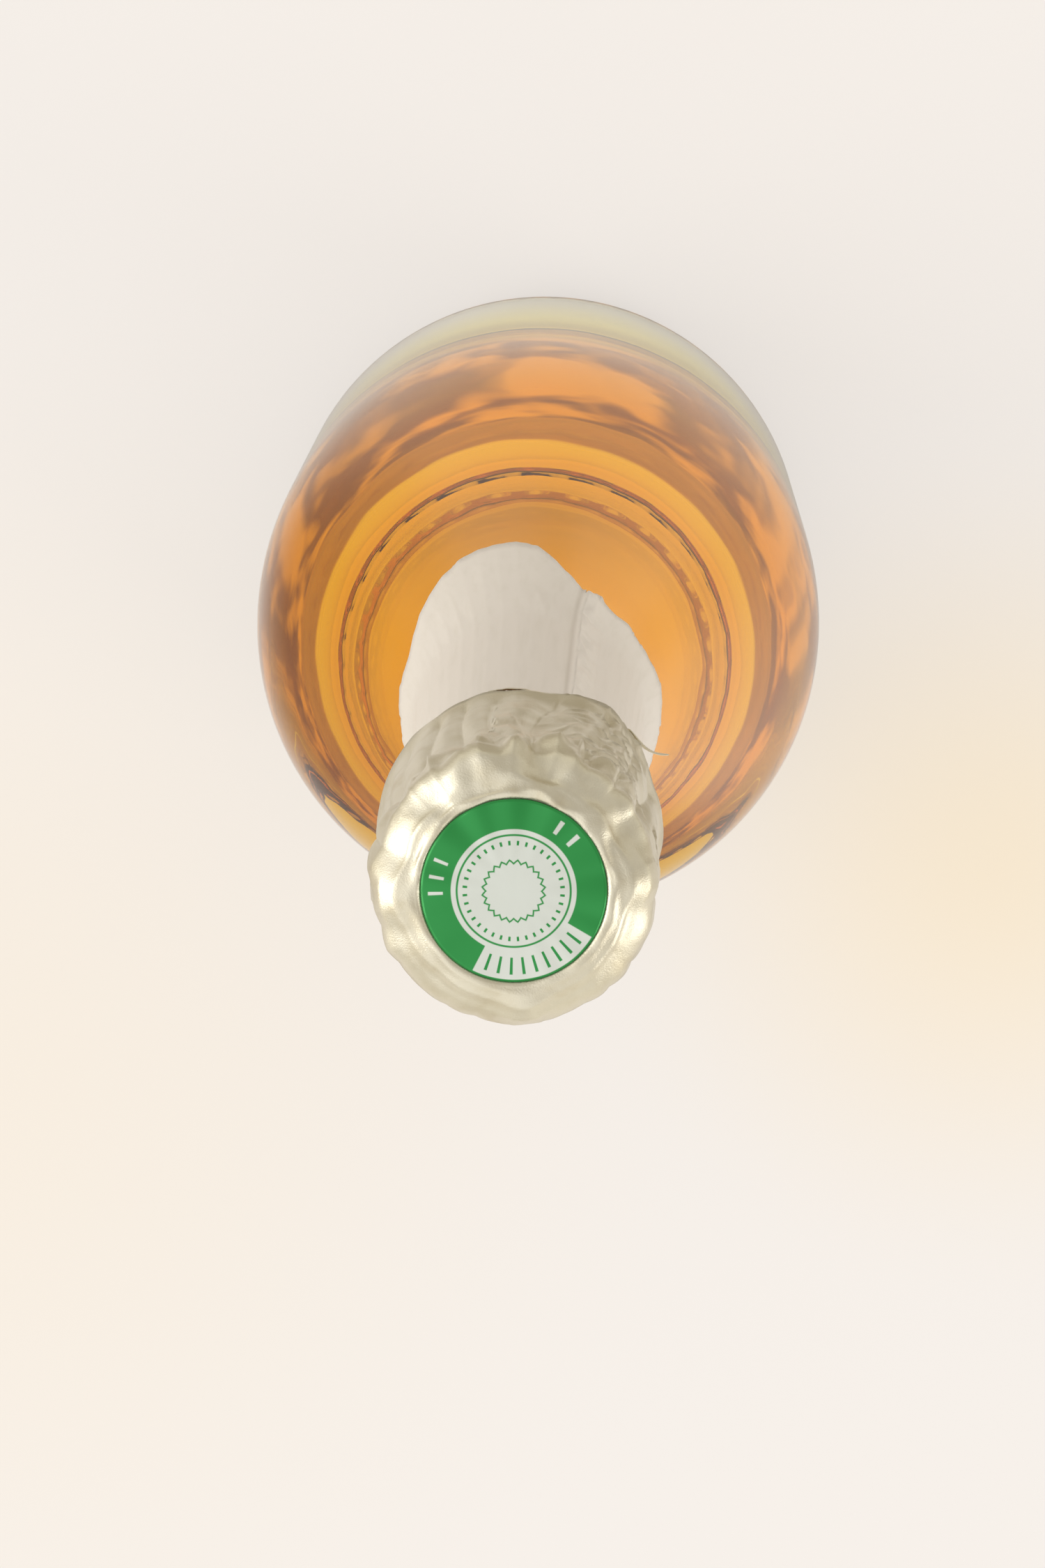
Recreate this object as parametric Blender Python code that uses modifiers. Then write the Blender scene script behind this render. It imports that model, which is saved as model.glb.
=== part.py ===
"""A corked 75 cl champagne bottle, as the separate pieces that a real one has.

The glass holds the wine. A mushroom cork of agglomerate with two natural discs closes the bore. A metal cap
lies on the cork, and one wire, bent into four twisted legs, ties the cap down to a belt wire that grips the
neck under the glass ring. A foil hood covers the cage, and a foil skirt with a tear strip covers the neck.

Metres, +Z up. The origin is the centre of the base, and the front of the bottle faces -Y.
"""

import math

import bmesh
import bpy
from mathutils import Vector

# Fits between pieces that touch on the real bottle
GAP = 0.0003
MERGE = 0.00002

# Glass body
GLASS_HEIGHT = 0.296
BODY_RADIUS = 0.046
BODY_WALL = 0.0030
SHOULDER_Z = 0.085
NECK_Z = 0.205
NECK_RADIUS = 0.0159
BODY_BEND_SHARE = 0.5
NECK_BEND_SHARE = 0.2

# Glass base
HEEL_RADIUS = 0.0065
BEARING_WIDTH = 0.0035
PUNT_HEIGHT = 0.0265
PUNT_ROUND = 0.0015
PUNT_BEND_SHARE = 2.0
BASE_WALL = 0.0045

# Glass neck and mouth, with drops measured from the lip
THROAT_RADIUS = 0.0134
THROAT_DROP = 0.022
NECK_WALL = 0.0036
BORE_RADIUS = 0.00875
BORE_DROP = 0.030
RING_RADIUS = 0.0151
RING_DROP = 0.016
RING_HEIGHT = 0.0055
RING_ROUND = 0.0010
COLLAR_RADIUS = 0.0132
BEAD_RADIUS = 0.0144
BEAD_HEIGHT = 0.0075
BEAD_ROUND = 0.0018
LIP_ROUND = 0.0012

# Wine
FILL_DROP = 0.066

# Cork
CORK_PROUD = 0.018
CORK_DEPTH = 0.024
CORK_HEAD_RADIUS = 0.0148
CORK_DISC_HEIGHT = 0.006
CORK_CHAMFER = 0.0005

# Metal cap on the cork
CAP_RADIUS = 0.0149
CAP_SHEET = 0.0004
CAP_SKIRT = 0.0022
CAP_CROWN_RADIUS = 0.0082
CAP_CROWN_HEIGHT = 0.0024
CAP_RIM_HEIGHT = 0.0007
CAP_ROUND = 0.0008

# Wire cage
FRAME_WIRE = 0.0009
BELT_WIRE = 0.0010
STRAND_GAP = 0.00025
TOP_RING_RADIUS = 0.0123
LEG_COUNT = 4
LEG_TURNS = 2
LEG_BEND = 0.0015
CAGE_TURN = 5.0
KEY_TURN = -130.0
KEY_TURNS = 3
KEY_SHANK = 0.012
KEY_EYE_LENGTH = 0.0095
KEY_EYE_WIDTH = 0.0064

# Foil hood
FOIL = 0.00035
HOOD_EASE = 0.0016
WAIST_DEPTH = 0.0010
LEG_BULGE = 10.5
KEY_BULGE = 21.0
SHOULDER_DROP = 0.006
SHOULDER_CURVE_SHARE = 2.6
HOOD_HEM = 0.0005
CRUMPLE = 0.0004
SEAL_RADIUS = 0.01125
SEAL_SHEET = 0.00025
SEAL_BORDER = 0.0006

# Foil on the neck
STRIP_WIDTH = 0.004
FLARE_LENGTH = 0.014
SKIRT_HEM_Z = 0.1855
SKIRT_TEAR = 0.0006
SKIRT_ROW_SHARES = (0.40, 0.72, 0.86, 0.93, 1.0)
TONGUE_LENGTH = 0.0125
TONGUE_TURN = -73.0
TONGUE_SPREAD = 60.0
SEAM_TURN = -114.0
SEAM_BULGE = 5.0
SEAM_RISE = 0.0005

# Pull tab of the tear strip
TAB_TURN = -138.0
TAB_LENGTH = 0.0075
TAB_CURL = 0.0016
TAB_MARGIN = 0.0004

# Facets
ROUND_STEPS = 32
SMALL_STEPS = 28
FOIL_STEPS = 48

# Places that follow from the sizes
LIP_Z = GLASS_HEIGHT
RING_Z = LIP_Z - RING_DROP
CORK_TOP_Z = LIP_Z + CORK_PROUD
CORK_FOOT_Z = LIP_Z - CORK_DEPTH
FILL_Z = LIP_Z - FILL_DROP
INNER_RADIUS = BODY_RADIUS - BODY_WALL
BEARING_RADIUS = BODY_RADIUS - HEEL_RADIUS
PUNT_RADIUS = BEARING_RADIUS - BEARING_WIDTH - PUNT_ROUND
STEM_RADIUS = BORE_RADIUS - GAP

GROOVE_Z = CORK_TOP_Z + GAP + CAP_SHEET
CROWN_Z = GROOVE_Z + CAP_CROWN_HEIGHT
RIM_Z = GROOVE_Z + CAP_RIM_HEIGHT

STRAND = (FRAME_WIRE + STRAND_GAP) / 2
PAIR_HALF = STRAND + FRAME_WIRE / 2
HEAD_RADIUS = max(RING_RADIUS, CAP_RADIUS, CORK_HEAD_RADIUS)
LEG_RADIUS = HEAD_RADIUS + GAP + PAIR_HALF
BELT_RADIUS = THROAT_RADIUS + GAP + FRAME_WIRE + GAP + BELT_WIRE / 2
EYE_RADIUS = BELT_WIRE / 2 + GAP + FRAME_WIRE / 2
BELT_SLACK_SHARE = 0.25
BELT_Z = RING_Z - EYE_RADIUS - FRAME_WIRE / 2 - GAP - BELT_SLACK_SHARE * (LEG_RADIUS - BELT_RADIUS)
EYE_TOP_SHARE = 2.1
EYE_TOP_Z = BELT_Z + EYE_TOP_SHARE * EYE_RADIUS
EYE_FOOT_Z = BELT_Z - EYE_RADIUS - FRAME_WIRE / 2

KEY_STRAND = (BELT_WIRE + STRAND_GAP) / 2
KEY_HALF = KEY_STRAND + BELT_WIRE / 2
KEY_RADIUS = HEAD_RADIUS + GAP + KEY_HALF
KEY_FOOT_Z = BELT_Z + 2 * BELT_WIRE
KEY_TOP_Z = KEY_FOOT_Z + KEY_SHANK + KEY_EYE_LENGTH

HOOD_TOP_Z = CROWN_Z + GAP + FOIL + GAP + SEAL_SHEET
HOOD_FOOT_Z = EYE_FOOT_Z - HOOD_HEM
STRIP_TOP_Z = HOOD_FOOT_Z - GAP
STRIP_FOOT_Z = STRIP_TOP_Z - STRIP_WIDTH
SKIRT_TOP_Z = STRIP_FOOT_Z - GAP


def main():
    for leftover in list(bpy.data.objects):
        bpy.data.objects.remove(leftover, do_unlink=True)
    bottle = bpy.data.collections.new("champagne_bottle")
    bpy.context.scene.collection.children.link(bottle)

    stand = holder(bottle, "bottle", None)
    cork = holder(bottle, "cork", stand)
    cage = holder(bottle, "cage", cork)
    hood = holder(bottle, "hood", cage)

    glass = material("clear_glass", (0.96, 0.97, 0.95), roughness=0.02, alpha=0.35)
    amber = material("amber_wine", (0.84, 0.50, 0.16), roughness=0.03, alpha=0.75)
    agglomerate = material("agglomerate_cork", (0.62, 0.42, 0.25), roughness=0.85)
    natural = material("natural_cork", (0.70, 0.50, 0.31), roughness=0.85)
    plate = material("cap_metal", (0.74, 0.71, 0.62), roughness=0.30, metallic=1.0)
    wire = material("cage_wire", (0.62, 0.61, 0.58), roughness=0.35, metallic=1.0)
    foil = material("hood_foil", (0.80, 0.77, 0.67), roughness=0.32, metallic=0.9)
    pale_foil = material("neck_foil", (0.82, 0.78, 0.71), roughness=0.45, metallic=0.6)
    print_green = material("seal_print", (0.10, 0.55, 0.25), roughness=0.35)

    turned(bottle, stand, "glass_bottle", glass_profile(), glass, ROUND_STEPS)
    turned(bottle, stand, "wine", wine_profile(), amber, ROUND_STEPS)
    sheet(bottle, stand, "neck_foil", skirt_rows(), pale_foil)
    sheet(bottle, stand, "tear_strip", strip_rows(), foil)
    tear_tab(bottle, stand, foil)

    turned(bottle, cork, "cork_body", cork_profile(), agglomerate, SMALL_STEPS)
    for name, foot in (("cork_disc_lower", CORK_FOOT_Z), ("cork_disc_upper", CORK_FOOT_Z + CORK_DISC_HEIGHT)):
        turned(bottle, cork, name, disc_profile(foot), natural, SMALL_STEPS)

    turned(bottle, cage, "cap_plaque", cap_profile(), plate, SMALL_STEPS)
    closed_wire(bottle, cage, "cage_frame_wire", frame_route(), FRAME_WIRE, wire)
    closed_wire(bottle, cage, "belt_key_wire", belt_route(), BELT_WIRE, wire)

    sheet(bottle, hood, "foil_hood", hood_rows(), foil)
    turned(bottle, hood, "seal_disc", seal_profile(), print_green, ROUND_STEPS)


# Shapes that several pieces share


def arc(centre, radius, start, end, count):
    """Points on a circle in a profile's plane, from one angle to another in degrees."""
    turns = [math.radians(start + (end - start) * step / count) for step in range(count + 1)]
    return [(centre[0] + radius * math.cos(turn), centre[1] + radius * math.sin(turn)) for turn in turns]


def ramp(share):
    """0 to 1 with a soft start and end."""
    share = min(max(share, 0.0), 1.0)
    return share * share * (3 - 2 * share)


def mix(start, end, share):
    return start + (end - start) * share


def bend(start, heading, end, arrival, count):
    """Points between two ends of a wire that leave and arrive along the given vectors, without the last."""
    points = []
    for step in range(count):
        share = step / count
        cube, square = share**3, share**2
        points.append(
            start * (2 * cube - 3 * square + 1)
            + heading * (cube - 2 * square + share)
            + end * (3 * square - 2 * cube)
            + arrival * (cube - square)
        )
    return points


def around(angle, radius, z, sideways=0.0):
    """A place at an angle in degrees about the bottle's axis, moved sideways along the circle."""
    turn = math.radians(angle)
    outward = Vector((math.cos(turn), math.sin(turn), 0.0))
    along = Vector((-math.sin(turn), math.cos(turn), 0.0))
    return outward * radius + along * sideways + Vector((0.0, 0.0, z))


def apart(angle, centre):
    """Degrees between two angles, the short way."""
    return abs((angle - centre + 180) % 360 - 180)


def eased(share, first, last):
    """0 to 1 with a soft start over the first share, a straight middle and a soft end over the last share."""
    speed = 1 / (1 - (first + last) / 2)
    if share < first:
        return speed * (share / 2 - first / math.tau * math.sin(math.pi * share / first))
    left = 1 - share
    if left < last:
        return 1 - speed * (left / 2 - last / math.tau * math.sin(math.pi * left / last))
    return speed * (share - first / 2)


# Glass and wine


def outer_radius(z):
    """Outside of the glass from the heel to the throat."""
    if z <= SHOULDER_Z:
        return BODY_RADIUS
    if z < NECK_Z:
        share = (z - SHOULDER_Z) / (NECK_Z - SHOULDER_Z)
        return mix(BODY_RADIUS, NECK_RADIUS, eased(share, BODY_BEND_SHARE, NECK_BEND_SHARE))
    throat_z = LIP_Z - THROAT_DROP
    return mix(NECK_RADIUS, THROAT_RADIUS, min((z - NECK_Z) / (throat_z - NECK_Z), 1.0))


def inner_radius(z):
    """Inside of the glass above the heel: the wall thickens up the shoulder and the bore is narrower."""
    wall = mix(BODY_WALL, NECK_WALL, ramp((z - SHOULDER_Z) / (NECK_Z - SHOULDER_Z)))
    bore_z = LIP_Z - BORE_DROP
    return mix(outer_radius(z) - wall, BORE_RADIUS, ramp((z - NECK_Z) / (bore_z - NECK_Z)))


def side_heights(foot, top):
    """Heights for the points of the side, close together where the shoulder bends."""
    shares = [BODY_BEND_SHARE * step / 4 for step in range(5)]
    shares += [1 - NECK_BEND_SHARE * (4 - step) / 4 for step in range(5)]
    shoulder = [mix(SHOULDER_Z, NECK_Z, share) for share in shares]
    neck = [mix(NECK_Z, LIP_Z - BORE_DROP, step / 2) for step in range(1, 3)]
    return [foot] + [z for z in shoulder + neck if foot < z < top]


def punt_curve(radius, foot, height, count):
    """The dome of the punt from its edge to its top."""
    points = []
    for step in range(count + 1):
        turn = math.pi / 2 * step / count
        across = math.cos(turn) ** (2 / PUNT_BEND_SHARE)
        rise = math.sin(turn) ** (2 / PUNT_BEND_SHARE)
        points.append((radius * across, mix(foot, height, rise)))
    points[-1] = (0.0, height)
    return points


def inner_profile(top):
    """Inside of the glass from the top of the punt out to the valley round it and up the wall."""
    punt_radius = PUNT_RADIUS + BASE_WALL
    valley = (INNER_RADIUS - punt_radius) / 2
    valley_centre = (punt_radius + valley, BASE_WALL + valley)
    dome = punt_curve(punt_radius, valley_centre[1], PUNT_HEIGHT + BASE_WALL, 5)
    points = dome[:0:-1] + arc(valley_centre, valley, 180, 360, 4)
    return points + [(inner_radius(z), z) for z in side_heights(valley_centre[1], top)[1:]]


def glass_profile():
    """Up the inside, over the lip, down the outside and into the punt."""
    inside = inner_profile(LIP_Z)
    lip = arc((BORE_RADIUS + LIP_ROUND, LIP_Z - LIP_ROUND), LIP_ROUND, 180, 90, 2)
    bead = arc((BEAD_RADIUS - BEAD_ROUND, LIP_Z - BEAD_ROUND), BEAD_ROUND, 90, 0, 3)
    bead_foot = LIP_Z - BEAD_HEIGHT
    bead += [(BEAD_RADIUS, bead_foot + BEAD_ROUND / 2), (COLLAR_RADIUS, bead_foot - BEAD_ROUND / 2)]
    ring_top = RING_Z + RING_HEIGHT
    ring = [(COLLAR_RADIUS, ring_top)]
    ring += arc((RING_RADIUS - RING_ROUND, ring_top - RING_ROUND), RING_ROUND, 60, 0, 2)
    ring += arc((RING_RADIUS - RING_ROUND, RING_Z + RING_ROUND), RING_ROUND, 0, -90, 2)
    ring += [(THROAT_RADIUS, RING_Z)]
    side = [(outer_radius(z), z) for z in reversed(side_heights(HEEL_RADIUS, LIP_Z - THROAT_DROP))]
    heel = arc((BEARING_RADIUS, HEEL_RADIUS), HEEL_RADIUS, 0, -90, 4)[1:]
    edge = arc((PUNT_RADIUS + PUNT_ROUND, PUNT_ROUND), PUNT_ROUND, -90, -180, 2)
    punt = punt_curve(PUNT_RADIUS, PUNT_ROUND, PUNT_HEIGHT, 5)[1:]
    throat = [(THROAT_RADIUS, LIP_Z - THROAT_DROP)]
    return inside + lip + bead + ring + throat + side + heel + edge + punt


def wine_profile():
    """The inside of the glass up to the fill line, drawn in by the gap."""
    inside = inner_profile(FILL_Z)
    wall = inside + [(inner_radius(FILL_Z), FILL_Z)]
    drawn_in = drawn(wall, GAP)
    drawn_in[0] = (0.0, wall[0][1] + GAP)
    drawn_in[-1] = (drawn_in[-1][0], FILL_Z)
    return [(0.0, FILL_Z)] + drawn_in[::-1]


def drawn(points, distance):
    """The profile moved to its left by a distance, which is inward when it runs outward and up."""
    moved = []
    for index, point in enumerate(points):
        before = Vector(points[max(index - 1, 0)])
        after = Vector(points[min(index + 1, len(points) - 1)])
        way = (after - before).normalized()
        moved.append((max(point[0] - way.y * distance, 0.0), point[1] + way.x * distance))
    return moved


# Cork


def cork_profile():
    """The mushroom: a head squeezed by the cap and cage, a flare over the lip and the stem in the bore."""
    under_cap = CAP_RADIUS - CAP_SHEET - GAP
    squeeze = CAP_SKIRT + GAP
    head = CORK_PROUD - squeeze
    foot = CORK_FOOT_Z + 2 * CORK_DISC_HEIGHT
    seat = LIP_Z + GAP
    return [
        (0.0, CORK_TOP_Z),
        (under_cap - CAP_ROUND, CORK_TOP_Z),
        (under_cap, CORK_TOP_Z - CAP_ROUND),
        (under_cap, CORK_TOP_Z - squeeze),
        (CORK_HEAD_RADIUS, CORK_TOP_Z - squeeze - head * 0.12),
        (CORK_HEAD_RADIUS, LIP_Z + head * 0.50),
        (CORK_HEAD_RADIUS * 0.96, LIP_Z + head * 0.28),
        (CORK_HEAD_RADIUS * 0.86, LIP_Z + head * 0.12),
        (BORE_RADIUS + LIP_ROUND, seat),
        (STEM_RADIUS + LIP_ROUND * 0.3, seat - LIP_ROUND * 0.3),
        (STEM_RADIUS, LIP_Z - LIP_ROUND),
        (STEM_RADIUS, foot + CORK_CHAMFER),
        (STEM_RADIUS - CORK_CHAMFER, foot),
        (0.0, foot),
    ]


def disc_profile(foot):
    """A natural cork disc glued under the stem."""
    top = foot + CORK_DISC_HEIGHT - GAP
    return [
        (0.0, top),
        (STEM_RADIUS - CORK_CHAMFER, top),
        (STEM_RADIUS, top - CORK_CHAMFER),
        (STEM_RADIUS, foot + CORK_CHAMFER),
        (STEM_RADIUS - CORK_CHAMFER, foot),
        (0.0, foot),
    ]


# Metal cap


def cap_profile():
    """Raised crown, groove for the wire, rolled rim and a short skirt round the cork's edge."""
    groove_start = mix(CAP_CROWN_RADIUS, TOP_RING_RADIUS, 0.70)
    groove_end = mix(TOP_RING_RADIUS, CAP_RADIUS, 0.40)
    over = [(0.0, CROWN_Z), (CAP_CROWN_RADIUS, CROWN_Z)]
    for step in range(1, 3):
        share = step / 2
        over.append((mix(CAP_CROWN_RADIUS, groove_start, share), mix(CROWN_Z, GROOVE_Z, ramp(share))))
    over += [(groove_end, GROOVE_Z)]
    over += arc((CAP_RADIUS - CAP_ROUND, RIM_Z - CAP_ROUND), CAP_ROUND, 110, 0, 2)
    over += [(CAP_RADIUS, CORK_TOP_Z - CAP_SKIRT)]
    under = drawn(over[::-1], CAP_SHEET)
    under[0] = (CAP_RADIUS - CAP_SHEET, over[-1][1])
    under[-1] = (0.0, CROWN_Z - CAP_SHEET)
    return over + under


# Wire cage


def strand_place(angle, radius, z, offset, phase):
    """A strand of a twisted pair: it goes round the pair's middle, starting sideways."""
    turn = math.radians(phase)
    return around(angle, radius + offset * math.sin(turn), z, offset * math.cos(turn))


def twisted(angle, radius, heights, offset, phases, count):
    """One strand of a pair, from the first height and phase to the last."""
    shares = [step / count for step in range(count + 1)]
    return [
        strand_place(angle, radius, mix(*heights, share), offset, mix(*phases, share)) for share in shares
    ]


def eyelet(angle):
    """The loop at the foot of a leg, from its outer strand round under the belt to its inner strand."""
    reach = LEG_RADIUS - BELT_RADIUS
    rise = EYE_TOP_Z - BELT_Z
    ends = []
    for side in (1, -1):
        across = reach + side * STRAND
        spread = math.degrees(math.acos(EYE_RADIUS / math.hypot(across, rise)))
        ends.append(math.degrees(math.atan2(rise, across)) - side * spread)
    loop = arc((BELT_RADIUS, BELT_Z), EYE_RADIUS, ends[0], ends[1] - 360, 9)
    return [around(angle, radius, z) for radius, z in loop]


def frame_route():
    """One closed wire: an arc in the cap's groove, then down a leg, round its eyelet and up again, four times."""
    ring_z = GROOVE_Z + GAP + FRAME_WIRE / 2
    over_rim_z = RIM_Z + GAP + FRAME_WIRE / 2
    turn_in = LEG_RADIUS - LEG_BEND
    heights = (over_rim_z - LEG_BEND, EYE_TOP_Z)
    corner = 3 * STRAND
    quarter = 360 / LEG_COUNT
    bow = math.degrees(corner / TOP_RING_RADIUS)
    twist = 360 * LEG_TURNS + 90
    steps = 8 * LEG_TURNS + 2
    route = []
    for leg in range(LEG_COUNT):
        angle = CAGE_TURN + quarter * leg
        down = leg_top(angle, -1, ring_z, over_rim_z, turn_in, bow, corner)
        down += twisted(angle, LEG_RADIUS, heights, STRAND, (180, 180 - twist), steps)
        up = twisted(angle, LEG_RADIUS, heights, STRAND, (0, -twist), steps)[::-1]
        up += leg_top(angle, 1, ring_z, over_rim_z, turn_in, bow, corner)[::-1]
        route += down + eyelet(angle) + up
        for step in range(1, 5):
            share = step / 5
            route.append(around(mix(angle + bow, angle + quarter - bow, share), TOP_RING_RADIUS, ring_z))
    return route


def leg_top(angle, side, ring_z, over_rim_z, turn_in, bow, corner):
    """From the top ring out over the rim of the cap and down to where the twist begins."""
    start = around(angle + side * bow, TOP_RING_RADIUS, ring_z)
    crest = around(angle, CAP_RADIUS - CAP_ROUND, over_rim_z, side * STRAND)
    tangent = around(angle + side * bow, 0.0, 0.0, -side * corner)
    outward = around(angle, corner, 0.0)
    points = bend(start, tangent, crest, outward, 3) + [crest]
    for radius, z in arc((turn_in, over_rim_z - LEG_BEND), LEG_BEND, 90, 22, 3):
        points.append(around(angle, radius, z, side * STRAND))
    return points


def belt_route():
    """One closed wire: round the neck through the eyelets, then twisted up into a key with an eye."""
    corner = 4 * KEY_STRAND
    bow = math.degrees(corner / BELT_RADIUS)
    foot = {side: around(KEY_TURN, KEY_RADIUS, KEY_FOOT_Z, side * KEY_STRAND) for side in (1, -1)}
    ends = {side: around(KEY_TURN + side * bow, BELT_RADIUS, BELT_Z) for side in (1, -1)}
    rise = Vector((0.0, 0.0, corner))
    steps = 8 * KEY_TURNS
    heights = (KEY_FOOT_Z, KEY_FOOT_Z + KEY_SHANK)
    twist = 360 * KEY_TURNS

    route = []
    for step in range(ROUND_STEPS):
        angle = mix(KEY_TURN + bow, KEY_TURN + 360 - bow, step / ROUND_STEPS)
        route.append(around(angle, BELT_RADIUS, BELT_Z))
    leaving = around(KEY_TURN - bow, 0.0, 0.0, corner)
    route += bend(ends[-1], leaving, foot[-1], rise, 5)
    route += twisted(KEY_TURN, KEY_RADIUS, heights, KEY_STRAND, (180, 180 + twist), steps)
    route += key_eye(heights[1])
    route += twisted(KEY_TURN, KEY_RADIUS, heights, KEY_STRAND, (0, twist), steps)[::-1]
    joining = around(KEY_TURN + bow, 0.0, 0.0, corner)
    route += bend(foot[1], -rise, ends[1], joining, 5)[1:]
    return route


def key_eye(foot):
    """The oval that a hand turns, from the strand at its left over the top to the strand at its right."""
    half = KEY_EYE_WIDTH / 2 - BELT_WIRE / 2
    tall = KEY_EYE_LENGTH / 2 - BELT_WIRE / 2
    start = math.degrees(math.asin(KEY_STRAND / half))
    points = []
    for step in range(1, 14):
        turn = math.radians(mix(start, 360 - start, step / 14))
        sideways = -half * math.sin(turn)
        points.append(around(KEY_TURN, KEY_RADIUS, foot + tall * (1 - math.cos(turn)), sideways))
    return points


# Foil


def pleats(angle, z):
    """0 to 1: crumples of the foil, the same every time it is built."""
    turn = math.radians(angle)
    up = z / FLARE_LENGTH
    waves = math.sin(7 * turn + 2.1 * up) + math.sin(12 * turn - 3.3 * up + 1.0) + math.sin(5 * turn + 4.1 * up)
    return 0.5 + waves / 6


def bulge(angle, centre, width):
    """1 where the foil lies over a wire, falling to 0 at the sides."""
    return math.exp(-((apart(angle, centre) / width) ** 4))


def cover_radius(angle, z):
    """Inside of the foil round the cage. It clears all that passes it when the hood lifts straight up."""
    waist_z = LIP_Z + CORK_PROUD / 4
    base = HEAD_RADIUS + GAP + HOOD_EASE
    base -= WAIST_DEPTH * math.exp(-(((z - waist_z) / (CORK_PROUD / 3)) ** 2))
    over_leg = LEG_RADIUS + PAIR_HALF + GAP - base
    over_key = KEY_RADIUS + KEY_HALF + GAP - base
    nearest = min(apart(angle, CAGE_TURN + 360 / LEG_COUNT * leg) for leg in range(LEG_COUNT))
    rise = over_leg * bulge(nearest, 0.0, LEG_BULGE)
    below_key = 1 - ramp((z - KEY_TOP_Z - GAP) / (CORK_TOP_Z - KEY_TOP_Z))
    rise = max(rise, over_key * bulge(angle, KEY_TURN, KEY_BULGE) * below_key)
    return base + rise


def foil_angles():
    return [CAGE_TURN + 360 * step / FOIL_STEPS for step in range(FOIL_STEPS)]


def hood_rows():
    """Rings of points from the middle of the top, round the shoulder and down to the hem."""
    seat_z = CROWN_Z + GAP
    top_z = HOOD_TOP_Z - FOIL
    recess = SEAL_RADIUS + GAP
    start = recess + SEAL_BORDER
    shoulder_z = top_z - SHOULDER_DROP
    rows = [[(0.0, 0.0, seat_z)], ring_of(recess, seat_z), ring_of(start, top_z)]
    for step in range(1, 5):
        turn = math.pi / 2 * step / 4
        share = math.sin(turn) ** (2 / SHOULDER_CURVE_SHARE)
        drop = 1 - math.cos(turn) ** (2 / SHOULDER_CURVE_SHARE)
        z = top_z - SHOULDER_DROP * drop
        row = []
        for angle in foil_angles():
            wide = cover_radius(angle, shoulder_z) + CRUMPLE * pleats(angle, z) * share
            row.append(around(angle, mix(start, wide, share), z))
        rows.append(row)
    for step in range(1, 6):
        z = mix(shoulder_z, HOOD_FOOT_Z, step / 5)
        row = [around(a, cover_radius(a, z) + CRUMPLE * pleats(a, z), z) for a in foil_angles()]
        rows.append(row)
    return rows


def ring_of(radius, z):
    return [around(angle, radius, z) for angle in foil_angles()]


def skirt_radius(angle, z):
    """Inside of the foil under the hood: it draws in from the belt to the glass of the neck."""
    share = ramp((HOOD_FOOT_Z - z) / FLARE_LENGTH)
    wide = cover_radius(angle, HOOD_FOOT_Z) + CRUMPLE * pleats(angle, z)
    seam = SEAM_RISE * bulge(angle, SEAM_TURN, SEAM_BULGE) * share
    return mix(wide, outer_radius(z) + GAP, share) + seam


def strip_rows():
    """The tear strip, between the hood and the skirt."""
    rows = []
    for z in (STRIP_TOP_Z, STRIP_FOOT_Z):
        rows.append([around(angle, skirt_radius(angle, z), z) for angle in foil_angles()])
    return rows


def hem_height(angle):
    """The torn lower edge. A tongue hangs down at the front and ends at the seam."""
    past = wrapped(angle) - TONGUE_TURN
    if past > 0:
        tongue = ramp(1 - past / TONGUE_SPREAD)
    else:
        tongue = max(1 - (past / (SEAM_TURN - TONGUE_TURN)) ** 2, 0.0)
    turn = math.radians(angle)
    ragged = math.sin(9 * turn) + math.sin(14 * turn + 1.3) + math.sin(5 * turn + 0.4)
    return SKIRT_HEM_Z - TONGUE_LENGTH * tongue + SKIRT_TEAR * ragged / 2


def wrapped(angle):
    """The angle between a half turn before the back of the bottle and a half turn after it."""
    return (angle + 270) % 360 - 270


def skirt_rows():
    """The foil on the neck, from under the tear strip to the torn hem."""
    flare_z = SKIRT_TOP_Z - FLARE_LENGTH * 0.45
    lower_z = SKIRT_TOP_Z - FLARE_LENGTH
    fixed = [SKIRT_TOP_Z, flare_z, lower_z]
    rows = [[around(a, skirt_radius(a, z), z) for a in foil_angles()] for z in fixed]
    for share in SKIRT_ROW_SHARES:
        row = []
        for angle in foil_angles():
            z = mix(lower_z, hem_height(angle), share)
            row.append(around(angle, skirt_radius(angle, z), z))
        rows.append(row)
    return rows


def seal_profile():
    """The printed disc in the shallow seat on top of the hood."""
    return [
        (0.0, HOOD_TOP_Z),
        (SEAL_RADIUS, HOOD_TOP_Z),
        (SEAL_RADIUS, HOOD_TOP_Z - SEAL_SHEET),
        (0.0, HOOD_TOP_Z - SEAL_SHEET),
    ]


# Making objects


def material(name, colour, roughness, metallic=0.0, alpha=1.0):
    made = bpy.data.materials.new(name)
    made.use_nodes = True
    shader = made.node_tree.nodes["Principled BSDF"]
    shader.inputs["Base Color"].default_value = (*colour, 1.0)
    shader.inputs["Roughness"].default_value = roughness
    shader.inputs["Metallic"].default_value = metallic
    shader.inputs["Alpha"].default_value = alpha
    made.diffuse_color = (*colour, alpha)
    return made


def holder(collection, name, parent):
    """An empty on the bottle's axis that carries what moves together."""
    empty = bpy.data.objects.new(name + "_holder", None)
    empty.empty_display_size = BODY_RADIUS / 2
    empty.parent = parent
    collection.objects.link(empty)
    return empty


def added(collection, parent, name, data, surface):
    data.materials.append(surface)
    piece = bpy.data.objects.new(name, data)
    piece.parent = parent
    collection.objects.link(piece)
    return piece


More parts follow.
